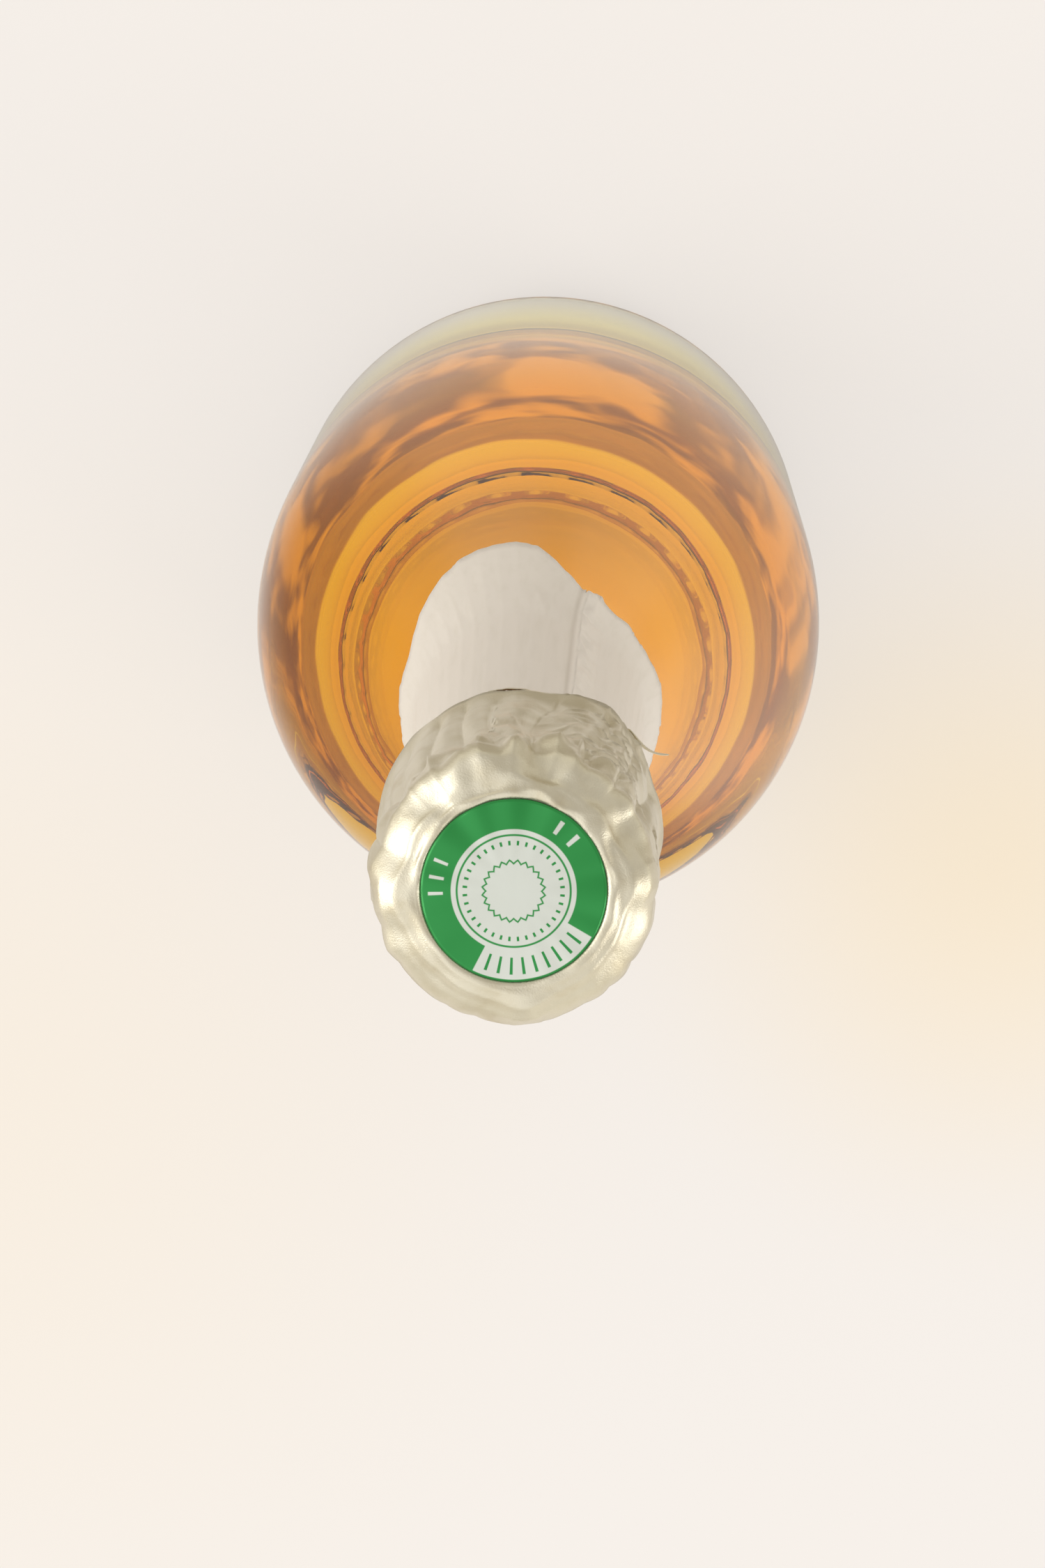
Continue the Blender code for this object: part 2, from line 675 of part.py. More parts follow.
def turned(collection, parent, name, profile, surface, steps):
    """A solid of revolution. The profile, at +X, runs down its outer side."""
    mesh = bpy.data.meshes.new(name)
    edges = [(index, index + 1) for index in range(len(profile) - 1)]
    mesh.from_pydata([(radius, 0.0, z) for radius, z in profile], edges, [])
    piece = added(collection, parent, name, mesh, surface)
    screw = piece.modifiers.new("Turn", "SCREW")
    screw.steps = steps
    screw.render_steps = steps
    screw.use_merge_vertices = True
    screw.merge_threshold = MERGE
    screw.use_smooth_shade = True
    return piece


def sheet(collection, parent, name, rows, surface):
    """A closed foil from rings of points, top to bottom. A first ring of one point closes the top."""
    shape = bmesh.new()
    rings = [[shape.verts.new(point) for point in row] for row in rows]
    for upper, lower in zip(rings, rings[1:]):
        for index, corner in enumerate(lower):
            following = lower[(index + 1) % len(lower)]
            if len(upper) == 1:
                shape.faces.new((upper[0], corner, following))
            else:
                shape.faces.new((upper[index], corner, following, upper[(index + 1) % len(upper)]))
    mesh = bpy.data.meshes.new(name)
    shape.to_mesh(mesh)
    shape.free()
    mesh.shade_smooth()
    piece = added(collection, parent, name, mesh, surface)
    thicken(piece)
    return piece


def thicken(piece):
    """Gives the foil its thickness, on the outer side of the points."""
    solidify = piece.modifiers.new("Foil thickness", "SOLIDIFY")
    solidify.thickness = FOIL
    solidify.offset = 1.0


def closed_wire(collection, parent, name, route, diameter, surface):
    curve = bpy.data.curves.new(name, "CURVE")
    curve.dimensions = "3D"
    curve.bevel_depth = diameter / 2
    curve.bevel_resolution = 1
    spline = curve.splines.new("POLY")
    spline.points.add(len(route) - 1)
    for point, place in zip(spline.points, route):
        point.co = (*place, 1.0)
    spline.use_cyclic_u = True
    return added(collection, parent, name, curve, surface)


def tear_tab(collection, parent, surface):
    """The strip's loose end. It curls away from the neck and swings out about its root."""
    top = STRIP_TOP_Z - TAB_MARGIN
    foot = STRIP_FOOT_Z + TAB_MARGIN
    middle = (top + foot) / 2
    root = around(TAB_TURN, skirt_radius(TAB_TURN, middle) + FOIL + GAP, middle)
    shape = bmesh.new()
    columns = []
    for step in range(7):
        share = step / 6
        column = []
        for z in (top, middle, foot):
            taper = mix(middle, z, 1 - share**3 * 0.45)
            angle = TAB_TURN - math.degrees(TAB_LENGTH * share / root.xy.length)
            away = skirt_radius(angle, taper) + FOIL + GAP + TAB_CURL * share**2
            column.append(shape.verts.new(around(angle, away, taper) - root))
        columns.append(column)
    for before, after in zip(columns, columns[1:]):
        for row in range(2):
            shape.faces.new((before[row], after[row], after[row + 1], before[row + 1]))
    mesh = bpy.data.meshes.new("tear_tab")
    shape.to_mesh(mesh)
    shape.free()
    mesh.shade_smooth()
    piece = added(collection, parent, "tear_tab", mesh, surface)
    piece.location = root
    thicken(piece)
    return piece


main()
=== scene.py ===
# %% [markdown]
# # A corked champagne bottle, seen from above
#
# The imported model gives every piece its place: glass, wine, foil, cork and wire cage. This lesson dresses it. Each
# piece that shows gets a finer mesh, made the way a maker would think of it, and each finish is built from nodes.
# All lengths are metres, +Z is up, and the bottle stands on the origin with its front towards -Y.

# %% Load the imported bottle
import math

import bpy
from mathutils import Matrix, Vector, noise
from mathutils.bvhtree import BVHTree


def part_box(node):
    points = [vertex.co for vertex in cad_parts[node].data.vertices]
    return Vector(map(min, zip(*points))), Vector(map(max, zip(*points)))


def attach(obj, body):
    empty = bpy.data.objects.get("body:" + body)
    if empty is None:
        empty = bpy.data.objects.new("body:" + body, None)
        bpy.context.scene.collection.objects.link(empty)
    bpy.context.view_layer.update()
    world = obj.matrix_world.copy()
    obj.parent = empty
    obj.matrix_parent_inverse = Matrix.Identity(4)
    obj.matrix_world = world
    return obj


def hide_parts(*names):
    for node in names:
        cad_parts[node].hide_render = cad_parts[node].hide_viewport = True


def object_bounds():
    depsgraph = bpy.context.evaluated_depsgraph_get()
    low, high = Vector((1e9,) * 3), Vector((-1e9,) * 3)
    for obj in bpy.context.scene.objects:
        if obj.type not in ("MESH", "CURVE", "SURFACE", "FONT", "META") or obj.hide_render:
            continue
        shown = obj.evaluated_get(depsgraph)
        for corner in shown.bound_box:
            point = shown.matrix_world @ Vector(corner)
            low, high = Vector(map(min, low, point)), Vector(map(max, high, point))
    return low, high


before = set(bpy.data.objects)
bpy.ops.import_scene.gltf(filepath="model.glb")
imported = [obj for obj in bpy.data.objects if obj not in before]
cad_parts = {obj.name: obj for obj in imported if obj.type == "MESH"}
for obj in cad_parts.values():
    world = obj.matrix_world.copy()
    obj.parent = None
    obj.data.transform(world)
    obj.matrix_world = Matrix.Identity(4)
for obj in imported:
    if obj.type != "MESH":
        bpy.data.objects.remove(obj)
cad_low, cad_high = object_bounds()
print("packed model", [round(side, 4) for side in cad_high - cad_low])

# %% [markdown]
# ## The camera
#
# The photograph looks down on the bottle, about ten degrees off its axis, from a little over half a metre above the
# cap. The camera is placed from the cap: its distance, its tilt and its roll are real sizes that were read off the
# outline of the body and the round seal on top. World +X lies to the left of the picture and +Y at its foot.

# %% Place the camera over the cap
FRAME_WIDTH, FRAME_HEIGHT = 1500, 2250
SENSOR_MM = 36.0
FOCUS_PX = 7292.0
CAP_PX = (737.3, 1279.1)
CAP_DISTANCE = 0.612
TILT, ROLL = math.radians(10.2), math.radians(5.3)

hood_low, hood_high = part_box("foil_hood")
cap_place = Vector((0.0, 0.0, cad_high.z))

upward = Vector((-math.sin(ROLL) * math.sin(TILT), -math.cos(ROLL) * math.sin(TILT), math.cos(TILT)))
leftward = Vector((-1.0, 0.0, 0.0))
leftward -= leftward.dot(upward) * upward
leftward.normalize()
to_world = Matrix((leftward, upward.cross(leftward), upward))

across = (CAP_PX[0] - FRAME_WIDTH / 2) / FOCUS_PX * CAP_DISTANCE
down = (CAP_PX[1] - FRAME_HEIGHT / 2) / FOCUS_PX * CAP_DISTANCE
lens = bpy.data.cameras.new("camera")
lens.sensor_width = SENSOR_MM
lens.lens = FOCUS_PX / FRAME_HEIGHT * SENSOR_MM
lens.clip_start, lens.clip_end = 0.01, 20.0
camera = bpy.data.objects.new("camera", lens)
bpy.context.scene.collection.objects.link(camera)
bpy.context.scene.camera = camera
place = cap_place - to_world @ Vector((across, -down, -CAP_DISTANCE))
camera.matrix_world = Matrix.Translation(place) @ to_world.to_4x4()
print("camera at", [round(c, 3) for c in place], "lens", round(lens.lens, 1))

# %% [markdown]
# ## A short way to write shaders
#
# Shader maths reads best as plain sums. One small class holds a socket, and its operators add Math nodes. A second
# class is one finish: it starts from the Principled shader, and one method adds any other node.


# %% Helpers for finishes
class Value:
    """A socket. Arithmetic on it adds Math nodes."""

    def __init__(self, finish, socket):
        self.finish = finish
        self.socket = socket

    def maths(self, operation, *others):
        return self.finish.node("ShaderNodeMath", {"operation": operation}, self, *others)

    def __add__(self, other):
        return self.maths("ADD", other)

    def __sub__(self, other):
        return self.maths("SUBTRACT", other)

    def __mul__(self, other):
        return self.maths("MULTIPLY", other)

    def __truediv__(self, other):
        return self.maths("DIVIDE", other)

    def __pow__(self, other):
        return self.maths("POWER", other)

    def __rsub__(self, other):
        return self.finish.node("ShaderNodeMath", {"operation": "SUBTRACT"}, other, self)

    __radd__ = __add__
    __rmul__ = __mul__

    def above(self, edge, soft):
        """0 below an edge and 1 above it, with a soft step between."""
        settings = {"interpolation_type": "SMOOTHSTEP"}
        return self.finish.node("ShaderNodeMapRange", settings, self, edge - soft, edge + soft, 0.0, 1.0)

    def between(self, low, high, soft):
        return self.above(low, soft) * (1 - self.above(high, soft))


class Nodes:
    """A node tree in the making, with a short way to add nodes."""

    def __init__(self, tree, place="Object"):
        self.tree = tree
        self.place = self.node("ShaderNodeTexCoord", {}, out=place)

    def node(self, kind, settings, *inputs, out=0, **named):
        made = self.tree.nodes.new(kind)
        for name, value in settings.items():
            setattr(made, name, value)
        for index, value in [*enumerate(inputs), *named.items()]:
            self.feed(made.inputs[index if isinstance(index, int) else index.replace("_", " ")], value)
        return Value(self, made.outputs[out])

    def feed(self, socket, value):
        if isinstance(value, Value):
            self.tree.links.new(value.socket, socket)
        elif isinstance(value, tuple) and len(value) == 3 and socket.type == "RGBA":
            socket.default_value = (*value, 1.0)
        else:
            socket.default_value = value

    def along(self, axis):
        """One coordinate of the place: 0, 1 or 2."""
        apart = self.node("ShaderNodeSeparateXYZ", {}, self.place)
        return Value(self, apart.socket.node.outputs[axis])

    def noise(self, scale, detail=4.0, where=None, roughness=0.5):
        where = where or self.place
        return self.node("ShaderNodeTexNoise", {}, Vector=where, Scale=scale, Detail=detail, Roughness=roughness)

    def stretched(self, scale, turn=(0.0, 0.0, 0.0)):
        """The place, stretched, for streaks and brushed lines."""
        return self.node("ShaderNodeMapping", {}, Vector=self.place, Scale=scale, Rotation=turn)

    def blend(self, first, second, share):
        """Two colours mixed by a share."""
        mixer = self.tree.nodes.new("ShaderNodeMix")
        mixer.data_type = "RGBA"
        for index, value in ((0, share), (6, first), (7, second)):
            self.feed(mixer.inputs[index], value)
        return Value(self, mixer.outputs[2])

    def spot(self, centre, size):
        """1 at a place on the table, falling softly to 0 at a distance."""
        away = self.node("ShaderNodeVectorMath", {"operation": "DISTANCE"}, self.place, centre, out="Value")
        return 1 - away.above(size / 2, size / 2)


class Finish(Nodes):
    """A material in the making. It starts from the Principled shader."""

    def __init__(self, name, **shader):
        self.material = bpy.data.materials.new(name)
        self.material.use_nodes = True
        super().__init__(self.material.node_tree)
        self.shader = self.tree.nodes["Principled BSDF"]
        self.output = self.tree.nodes["Material Output"]
        for name, value in shader.items():
            self.set(name.replace("_", " "), value)

    def set(self, name, value):
        self.feed(self.shader.inputs[name], value)

    def bump(self, height, strength, distance, after=None):
        made = self.node("ShaderNodeBump", {}, Strength=strength, Distance=distance, Height=height)
        if after:
            self.feed(made.socket.node.inputs["Normal"], after)
        return made

    def polar(self, centre=(0.0, 0.0)):
        """Distance from a centre, and the angle about it in turns, from -0.5 to 0.5."""
        x, y = self.along(0) - centre[0], self.along(1) - centre[1]
        return (x * x + y * y) ** 0.5, y.maths("ARCTAN2", x) / math.tau


# %% [markdown]
# ## Turning on a lathe
#
# Glass, wine, cork and cap are all turned shapes. By hand one would draw half of the outline and spin it round the
# axis. The helper does just that: it starts from one point, extrudes it from corner to corner, and spins the line.


# %% Helpers for shapes
def arc(centre, radius, start, end, count):
    """Corners on a circle, from one angle to another in degrees."""
    turns = [math.radians(start + (end - start) * step / count) for step in range(count + 1)]
    return [(centre[0] + radius * math.cos(turn), centre[1] + radius * math.sin(turn)) for turn in turns]


def ramp(share):
    """0 to 1 with a soft start and end."""
    share = min(max(share, 0.0), 1.0)
    return share * share * (3 - 2 * share)


def mix(start, end, share):
    return start + (end - start) * share


def lathe(name, outline, steps):
    """A turned piece from corners at (radius, height), with smooth faces that point outwards."""
    bpy.ops.object.select_all(action="DESELECT")
    bpy.ops.mesh.primitive_plane_add(size=0.01, location=(0.0, 0.0, 0.0))
    piece = bpy.context.object
    piece.name = name
    bpy.ops.object.mode_set(mode="EDIT")
    bpy.ops.mesh.select_all(action="SELECT")
    bpy.ops.mesh.merge(type="CENTER")
    corners = [Vector((radius, 0.0, z)) for radius, z in outline]
    bpy.ops.transform.translate(value=corners[0])
    for before, after in zip(corners, corners[1:]):
        bpy.ops.mesh.extrude_vertices_move(TRANSFORM_OT_translate={"value": after - before})
    bpy.ops.mesh.select_all(action="SELECT")
    bpy.ops.mesh.spin(steps=steps, angle=math.tau, center=(0.0, 0.0, 0.0), axis=(0.0, 0.0, 1.0))
    bpy.ops.mesh.select_all(action="SELECT")
    bpy.ops.mesh.remove_doubles(threshold=0.000002)
    bpy.ops.mesh.normals_make_consistent(inside=False)
    bpy.ops.object.mode_set(mode="OBJECT")
    bpy.ops.object.shade_smooth()
    return piece


def dressed(piece, finish, body, *nodes, slot):
    """Gives a piece its finish and its place in the bottle."""
    piece.data.materials.clear()
    piece.data.materials.append(finish.material)
    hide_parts(*nodes)
    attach(piece, body)
    print(piece.name, len(piece.data.polygons), "faces")


# %% [markdown]
# ## The glass
#
# The bottle is blown from clear glass: straight body, long sloping shoulder, a ring for the wire under the lip, and a
# punt pushed up into the base. The outline runs up the inside, over the lip, down the outside and into the punt, so
# that one spin gives a closed wall. The wine is a solid of its own. Light bends rightly between the two only if no
# air lies between them, so the inside of the glass stands a tenth of a millimetre further in than the wine's skin.

# %% Sizes of the glass
_, glass_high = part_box("glass_bottle")
_, wine_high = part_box("wine")

LIP_Z = glass_high.z
BODY_RADIUS = glass_high.x
FILL_Z = wine_high.z
SHOULDER_Z = 0.085
NECK_Z = 0.205
NECK_RADIUS = 0.0159
BODY_BEND, NECK_BEND = 0.5, 0.2
BODY_WALL = BODY_RADIUS - wine_high.x
NECK_WALL = 0.0036
HEEL_RADIUS = 0.0065
BEARING_WIDTH = 0.0035
PUNT_HEIGHT = 0.0265
PUNT_ROUND = 0.0015
PUNT_BEND = 2.0
BASE_WALL = 0.0045
THROAT_RADIUS = 0.0134
THROAT_DROP = 0.022
BORE_RADIUS = 0.00875
BORE_DROP = 0.030
RING_RADIUS = 0.0151
RING_DROP = 0.016
RING_HEIGHT = 0.0055
COLLAR_RADIUS = 0.0132
BEAD_RADIUS = 0.0144
BEAD_HEIGHT = 0.0075
LIP_ROUND = 0.0012
SKIN = 0.0003
GRIP = 0.0001
GLASS_STEPS = 240
SIDE_ROWS, BORE_ROWS, PUNT_ROWS = 60, 12, 24


def eased(share, first, last):
    """0 to 1 with a soft start over the first share, a straight middle and a soft end over the last."""
    speed = 1 / (1 - (first + last) / 2)
    if share < first:
        return speed * (share / 2 - first / math.tau * math.sin(math.pi * share / first))
    left = 1 - share
    if left < last:
        return 1 - speed * (left / 2 - last / math.tau * math.sin(math.pi * left / last))
    return speed * (share - first / 2)


def outer_radius(z):
    """Outside of the glass from the heel to the throat."""
    if z <= SHOULDER_Z:
        return BODY_RADIUS
    if z < NECK_Z:
        share = (z - SHOULDER_Z) / (NECK_Z - SHOULDER_Z)
        return mix(BODY_RADIUS, NECK_RADIUS, eased(share, BODY_BEND, NECK_BEND))
    throat_z = LIP_Z - THROAT_DROP
    return mix(NECK_RADIUS, THROAT_RADIUS, min((z - NECK_Z) / (throat_z - NECK_Z), 1.0))


def wall_radius(z):
    """Inside of the glass, which is narrower in the bore."""
    wall = mix(BODY_WALL, NECK_WALL + SKIN, ramp((z - SHOULDER_Z) / (NECK_Z - SHOULDER_Z)))
    bore_z = LIP_Z - BORE_DROP
    return mix(outer_radius(z) - wall, BORE_RADIUS, ramp((z - NECK_Z) / (bore_z - NECK_Z)))


def heights(foot, top):
    """Heights for the side, close together where the shoulder bends."""
    rows = [mix(SHOULDER_Z, NECK_Z, step / SIDE_ROWS) for step in range(SIDE_ROWS + 1)]
    rows += [mix(NECK_Z, LIP_Z - BORE_DROP, step / BORE_ROWS) for step in range(1, BORE_ROWS + 1)]
    return [z for z in rows if foot < z < top]


def dome(radius, foot, top):
    """The punt, from its edge to its top."""
    corners = []
    for step in range(PUNT_ROWS):
        turn = math.pi / 2 * step / PUNT_ROWS
        across = math.cos(turn) ** (2 / PUNT_BEND)
        rise = math.sin(turn) ** (2 / PUNT_BEND)
        corners.append((radius * across, mix(foot, top, rise)))
    return corners + [(0.0, top)]


def inside(top, drawn_in):
    """From the middle of the punt out to the valley round it and up the wall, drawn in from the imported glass."""
    wall = BODY_RADIUS - BODY_WALL + SKIN
    edge = BODY_RADIUS - HEEL_RADIUS - BEARING_WIDTH - PUNT_ROUND + BASE_WALL
    valley = (wall - edge) / 2
    centre = (edge + valley, BASE_WALL + valley)
    over = dome(edge + drawn_in, centre[1], PUNT_HEIGHT + BASE_WALL + drawn_in)
    rounded = arc(centre, valley - drawn_in, 180, 360, 20)
    side = [(wall_radius(z) + SKIN - drawn_in, z) for z in heights(centre[1], top)]
    return over[:0:-1] + rounded + side


# %% Spin the glass
BEAD_ROUND = 0.0018
RING_ROUND = 0.0010
RELEASE = 0.006

bearing = BODY_RADIUS - HEEL_RADIUS
punt_edge = bearing - BEARING_WIDTH - PUNT_ROUND
bead_foot = LIP_Z - BEAD_HEIGHT
ring_foot = LIP_Z - RING_DROP
ring_top = ring_foot + RING_HEIGHT

wet = inside(FILL_Z + RELEASE / 2, SKIN + GRIP)
dry = [(wall_radius(z), z) for z in heights(FILL_Z + RELEASE, LIP_Z - LIP_ROUND)]
outline = wet + dry + [(BORE_RADIUS, LIP_Z - BORE_DROP)]
outline += arc((BORE_RADIUS + LIP_ROUND, LIP_Z - LIP_ROUND), LIP_ROUND, 180, 90, 6)
outline += arc((BEAD_RADIUS - BEAD_ROUND, LIP_Z - BEAD_ROUND), BEAD_ROUND, 90, 0, 8)
outline += [(BEAD_RADIUS, bead_foot + BEAD_ROUND / 2), (COLLAR_RADIUS, bead_foot - BEAD_ROUND / 2)]
outline += [(COLLAR_RADIUS, ring_top)]
outline += arc((RING_RADIUS - RING_ROUND, ring_top - RING_ROUND), RING_ROUND, 60, 0, 5)
outline += arc((RING_RADIUS - RING_ROUND, ring_foot + RING_ROUND), RING_ROUND, 0, -90, 6)
outline += [(THROAT_RADIUS, ring_foot), (THROAT_RADIUS, LIP_Z - THROAT_DROP)]
outline += [(outer_radius(z), z) for z in reversed(heights(HEEL_RADIUS, LIP_Z - THROAT_DROP))]
outline += arc((bearing, HEEL_RADIUS), HEEL_RADIUS, 0, -90, 18)
outline += [(bearing - BEARING_WIDTH / 2, 0.0)]
outline += arc((punt_edge + PUNT_ROUND, PUNT_ROUND), PUNT_ROUND, -90, -180, 6)
outline += dome(punt_edge, PUNT_ROUND, PUNT_HEIGHT)[1:]
glass = lathe("glass", outline, GLASS_STEPS)

# %% [markdown]
# The foot of a bottle is not smooth. The mould leaves a ring of small teeth round the face that it stands on, which
# show through the wine as a jagged line. The points there are lifted in steps, like the teeth of a saw, and one in
# five stays down, so the bottle still stands on its plane.

# %% Cut the teeth of the standing ring
TOOTH = 0.00045
TOOTH_COLUMNS = 5
TOOTHED_BELOW = 0.0022
TOOTHED_PAST = bearing - BEARING_WIDTH + 0.0002
for point in glass.data.vertices:
    if point.co.z < TOOTHED_BELOW and point.co.xy.length > TOOTHED_PAST:
        column = round(math.atan2(point.co.y, point.co.x) / math.tau * GLASS_STEPS)
        point.co.z += TOOTH * (column % TOOTH_COLUMNS) / TOOTH_COLUMNS

# %% [markdown]
# ## The wine
#
# Pale amber wine fills the bottle up to the neck. Its top is a small round pool with a raised edge where it wets the
# glass.

# %% Spin the wine
MENISCUS = 0.0010
MENISCUS_WIDTH = 2.5 * MENISCUS
POOL_ROWS = 8
WINE_STEPS = 160

skin = inside(FILL_Z, SKIN)
edge = wall_radius(FILL_Z)
pool = [(edge, FILL_Z)]
for step in range(1, POOL_ROWS + 1):
    share = step / POOL_ROWS
    pool.append((edge - MENISCUS_WIDTH * share, FILL_Z - MENISCUS * (1 - (1 - share) ** 2)))
wine = lathe("still_wine", skin + pool + [(0.0, FILL_Z - MENISCUS)], WINE_STEPS)

# %% [markdown]
# Clear glass bends light and hardly tints it, and a blown wall is a little wavy. The wine takes its colour from depth:
# a Volume Absorption node lets amber through, so the thick middle is darker than the thin edge.

# %% Finish the glass and the wine
clear = Finish("clear_glass", Base_Color=(0.99, 0.995, 0.99), Roughness=0.0, IOR=1.5, Transmission_Weight=1.0)
clear.set("Normal", clear.bump(clear.noise(38.0, detail=2.0), strength=0.25, distance=0.0004))

AMBER = (1.00, 0.875, 0.04)
AMBER_DENSITY = 46.0
amber = Finish("amber_wine", Base_Color=(1.0, 1.0, 1.0), Roughness=0.0, IOR=1.34, Transmission_Weight=1.0)
tint = amber.node("ShaderNodeVolumeAbsorption", {}, AMBER, AMBER_DENSITY)
amber.feed(amber.output.inputs["Volume"], tint)

dressed(glass, clear, "bottle", "glass_bottle", slot="clear_glass")
dressed(wine, amber, "bottle", "wine", slot="amber_wine")

# %% [markdown]
# ## The foil hood
#
# Thin foil is pressed by hand over cap, cork and wires. It stays flat under the round seal, turns over the cap's edge
# in small dents, falls in pleats, draws in under the cork's head and stands out again over the glass ring. The mesh
# starts as a turned cap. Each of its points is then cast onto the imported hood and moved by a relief: pleats, a waist,
# a ridge over the ring and the creases of crumpled foil. Where that would bring it into what it covers, it is held a
# little way off.

# %% Helpers for foil
FOIL = 0.00012
PACKED_FOIL = 0.00035
CREST_SHARPNESS = 2.2
CREASE_SHARPNESS = 2.4


def surface_of(*nodes):
    """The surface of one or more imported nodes, to cast rays at."""
    points, faces = [], []
    for node in nodes:
        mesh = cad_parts[node].data
        first = len(points)
        points += [point.co for point in mesh.vertices]
        faces += [[first + corner for corner in face.vertices] for face in mesh.polygons]
    return BVHTree.FromPolygons(points, faces)


def reach(surface, start, angle, rise):
    """Distance from a place on the axis to the outside of a surface, at an angle and a rise in radians."""
    way = Vector((math.cos(angle) * math.cos(rise), math.sin(angle) * math.cos(rise), math.sin(rise)))
    far = start + way * BODY_RADIUS
    hit = surface.ray_cast(far, -way)[0]
    return (hit - start).length if hit else None


def apart(angle, centre):
    """Degrees between two angles, the short way."""
    return abs((math.degrees(angle) - centre + 180) % 360 - 180)


def around(angle, size, z):
    """A place for noise that closes on itself after a full turn."""
    return Vector((size * math.cos(angle), size * math.sin(angle), z))


def ridge(place):
    """Noise with sharp crests, from 0 to 1."""
    return 1 - min(abs(noise.noise(place)) * CREST_SHARPNESS, 1.0)


def creases(place):
    """A net of thin sharp folds with flat patches between them, from 0 to 1."""
    near = noise.voronoi(place)[0]
    return 1 - min((near[1] - near[0]) * CREASE_SHARPNESS, 1.0)


def bell(value, centre, width):
    return math.exp(-(((value - centre) / width) ** 2))


def rounded_max(first, second, span):
    """The larger of two lengths, with a soft change from one to the other."""
    share = min(max(0.5 + 0.5 * (first - second) / span, 0.0), 1.0)
    return mix(second, first, share) + span * share * (1 - share)


def thicken(piece, thickness):
    """Gives a sheet its thickness, inwards from its points."""
    solid = piece.modifiers.new("thickness", "SOLIDIFY")
    solid.thickness = thickness
    solid.offset = -1.0
    bpy.context.view_layer.objects.active = piece
    bpy.ops.object.modifier_apply(modifier=solid.name)


# %% [markdown]
# The relief is a sum of small forms, each strong in a zone of its own. Soft dimples cover the head, lobes gather at its
# rim, pleats lean down the side, and the twisted key and legs press through from below. The front is more crumpled than
# the back: where a height is given twice, the first is for the back. Turns are degrees about the axis, and a drop is
# a distance below the top.

# %% Zones and heights of the relief
TOP_Z = hood_high.z
HOOD_FOOT_Z = hood_low.z
_, seal_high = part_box("seal_disc")
SEAL_RADIUS = seal_high.x
SEAL_SHEET = 0.0001
HEAD_DROP = 0.0085
RIDGE_DROP = 0.0392

DENT_SCALE = 150
LEAST_DENT, SOFT_DENT, FLUTE_DENT = 0.00003, 0.00014, 0.00042

FRONT_TURN, FRONT_WIDTH = -95.0, 80.0
KEY_TURN, KEY_WIDTH = -130.0, 24.0
KEY_START, KEY_RISE = 0.0045, 0.0050
LEG_TURNS, LEG_WIDTH = (5.0, 95.0, 185.0, 275.0), 11.0
LEG_START, LEG_RISE = 0.0010, 0.0030

HEAD_START, HEAD_RISE = 0.0004, 0.0026
HEAD_END, HEAD_FALL = 0.0070, 0.0050
RIM_ZONE = (0.0010, 0.0045, 0.0100, 0.0060)
SIDE_ZONE = (0.0120, 0.0060, RIDGE_DROP - 0.0030, 0.0030)

LOBES = 19
LOBE_WANDER, LOBE_LEAN, LOBE_SHARPNESS, LOBE_LEVEL = 0.9, 22, 0.7, 0.6
CREASE_LEVEL = 0.2
RIM_LOBES = (0.00034, 0.00095)
RIM_GRAIN, RIM_GRAIN_SCALE = (0.00006, 0.00020), 560
DIMPLES, DIMPLE_SCALE = (0.00020, 0.00185), 210
CREASES, CREASE_SCALE = (0.00004, 0.00016), 170
KEY_CREASES, KEY_CREASE_SCALE = 0.00070, 240
PLEATS = 0.00055
SIDE_GRAIN, SIDE_GRAIN_SCALE = 0.00010, 380
ROUNDING, ROUNDING_START = 0.00095, 0.0030
ROUNDING_AT = (0.0009, 0.0014)
LEG_SHARE = 0.75
LEG_PRESS = 0.00055
PINCH_TURN, PINCH_WIDTH = -143.0, 16.0
PINCH_CREST, PINCH_CREST_AT = 0.0006, (0.0042, 0.0014)
PINCH_VALLEY, PINCH_VALLEY_AT = 0.0007, (0.0016, 0.0012)
WAIST, WAIST_AT = 0.00045, (0.0200, 0.0080)
RING_RIDGE, RING_RIDGE_WIDTH, RING_WANDER = 0.00100, 0.0014, 0.0006
FOLD_LENGTH = 0.0048
FOLDS = (
    # turn, drop, half width in degrees, height
    (-43.0, 0.0085, 2.0, 0.0005),
    (-55.0, 0.0080, 2.5, 0.0009),
    (-76.0, 0.0075, 4.0, 0.0007),
    (-89.0, 0.0085, 6.0, 0.0006),
    (-97.0, 0.0080, 3.5, -0.0011),
    (-107.0, 0.0075, 4.0, 0.0006),
    (-116.0, 0.0100, 3.0, 0.0010),
    (-122.0, 0.0080, 2.5, -0.0006),
    (-133.0, 0.0090, 4.0, 0.0006),
    (-170.0, 0.0090, 2.5, 0.0006),
    (28.0, 0.0100, 2.5, 0.0006),
)
CLEARANCE = 0.00015
hood_surface = surface_of("foil_hood")
under_hood = surface_of("cap_plaque", "cork_body", "cage_frame_wire", "belt_key_wire", "glass_bottle")


def top_dents(x, y):
    """How far the top is pressed down: a little at the middle, more towards the cap's edge, in shallow flutes."""
    radius = math.hypot(x, y) / SEAL_RADIUS
    soft = 0.5 + 0.5 * noise.noise(Vector((x, y, 0.0)) * DENT_SCALE)
    flutes = 0.5 + noise.noise(around(math.atan2(y, x), 3.2, 4.0))
    return LEAST_DENT + SOFT_DENT * soft + FLUTE_DENT * radius**3 * flutes


def zone(drop, start, rise, end, fall):
    """1 over a stretch of the way down and 0 beyond it, with soft ends."""
    return ramp((drop - start) / rise) * (1 - ramp((drop - end) / fall))


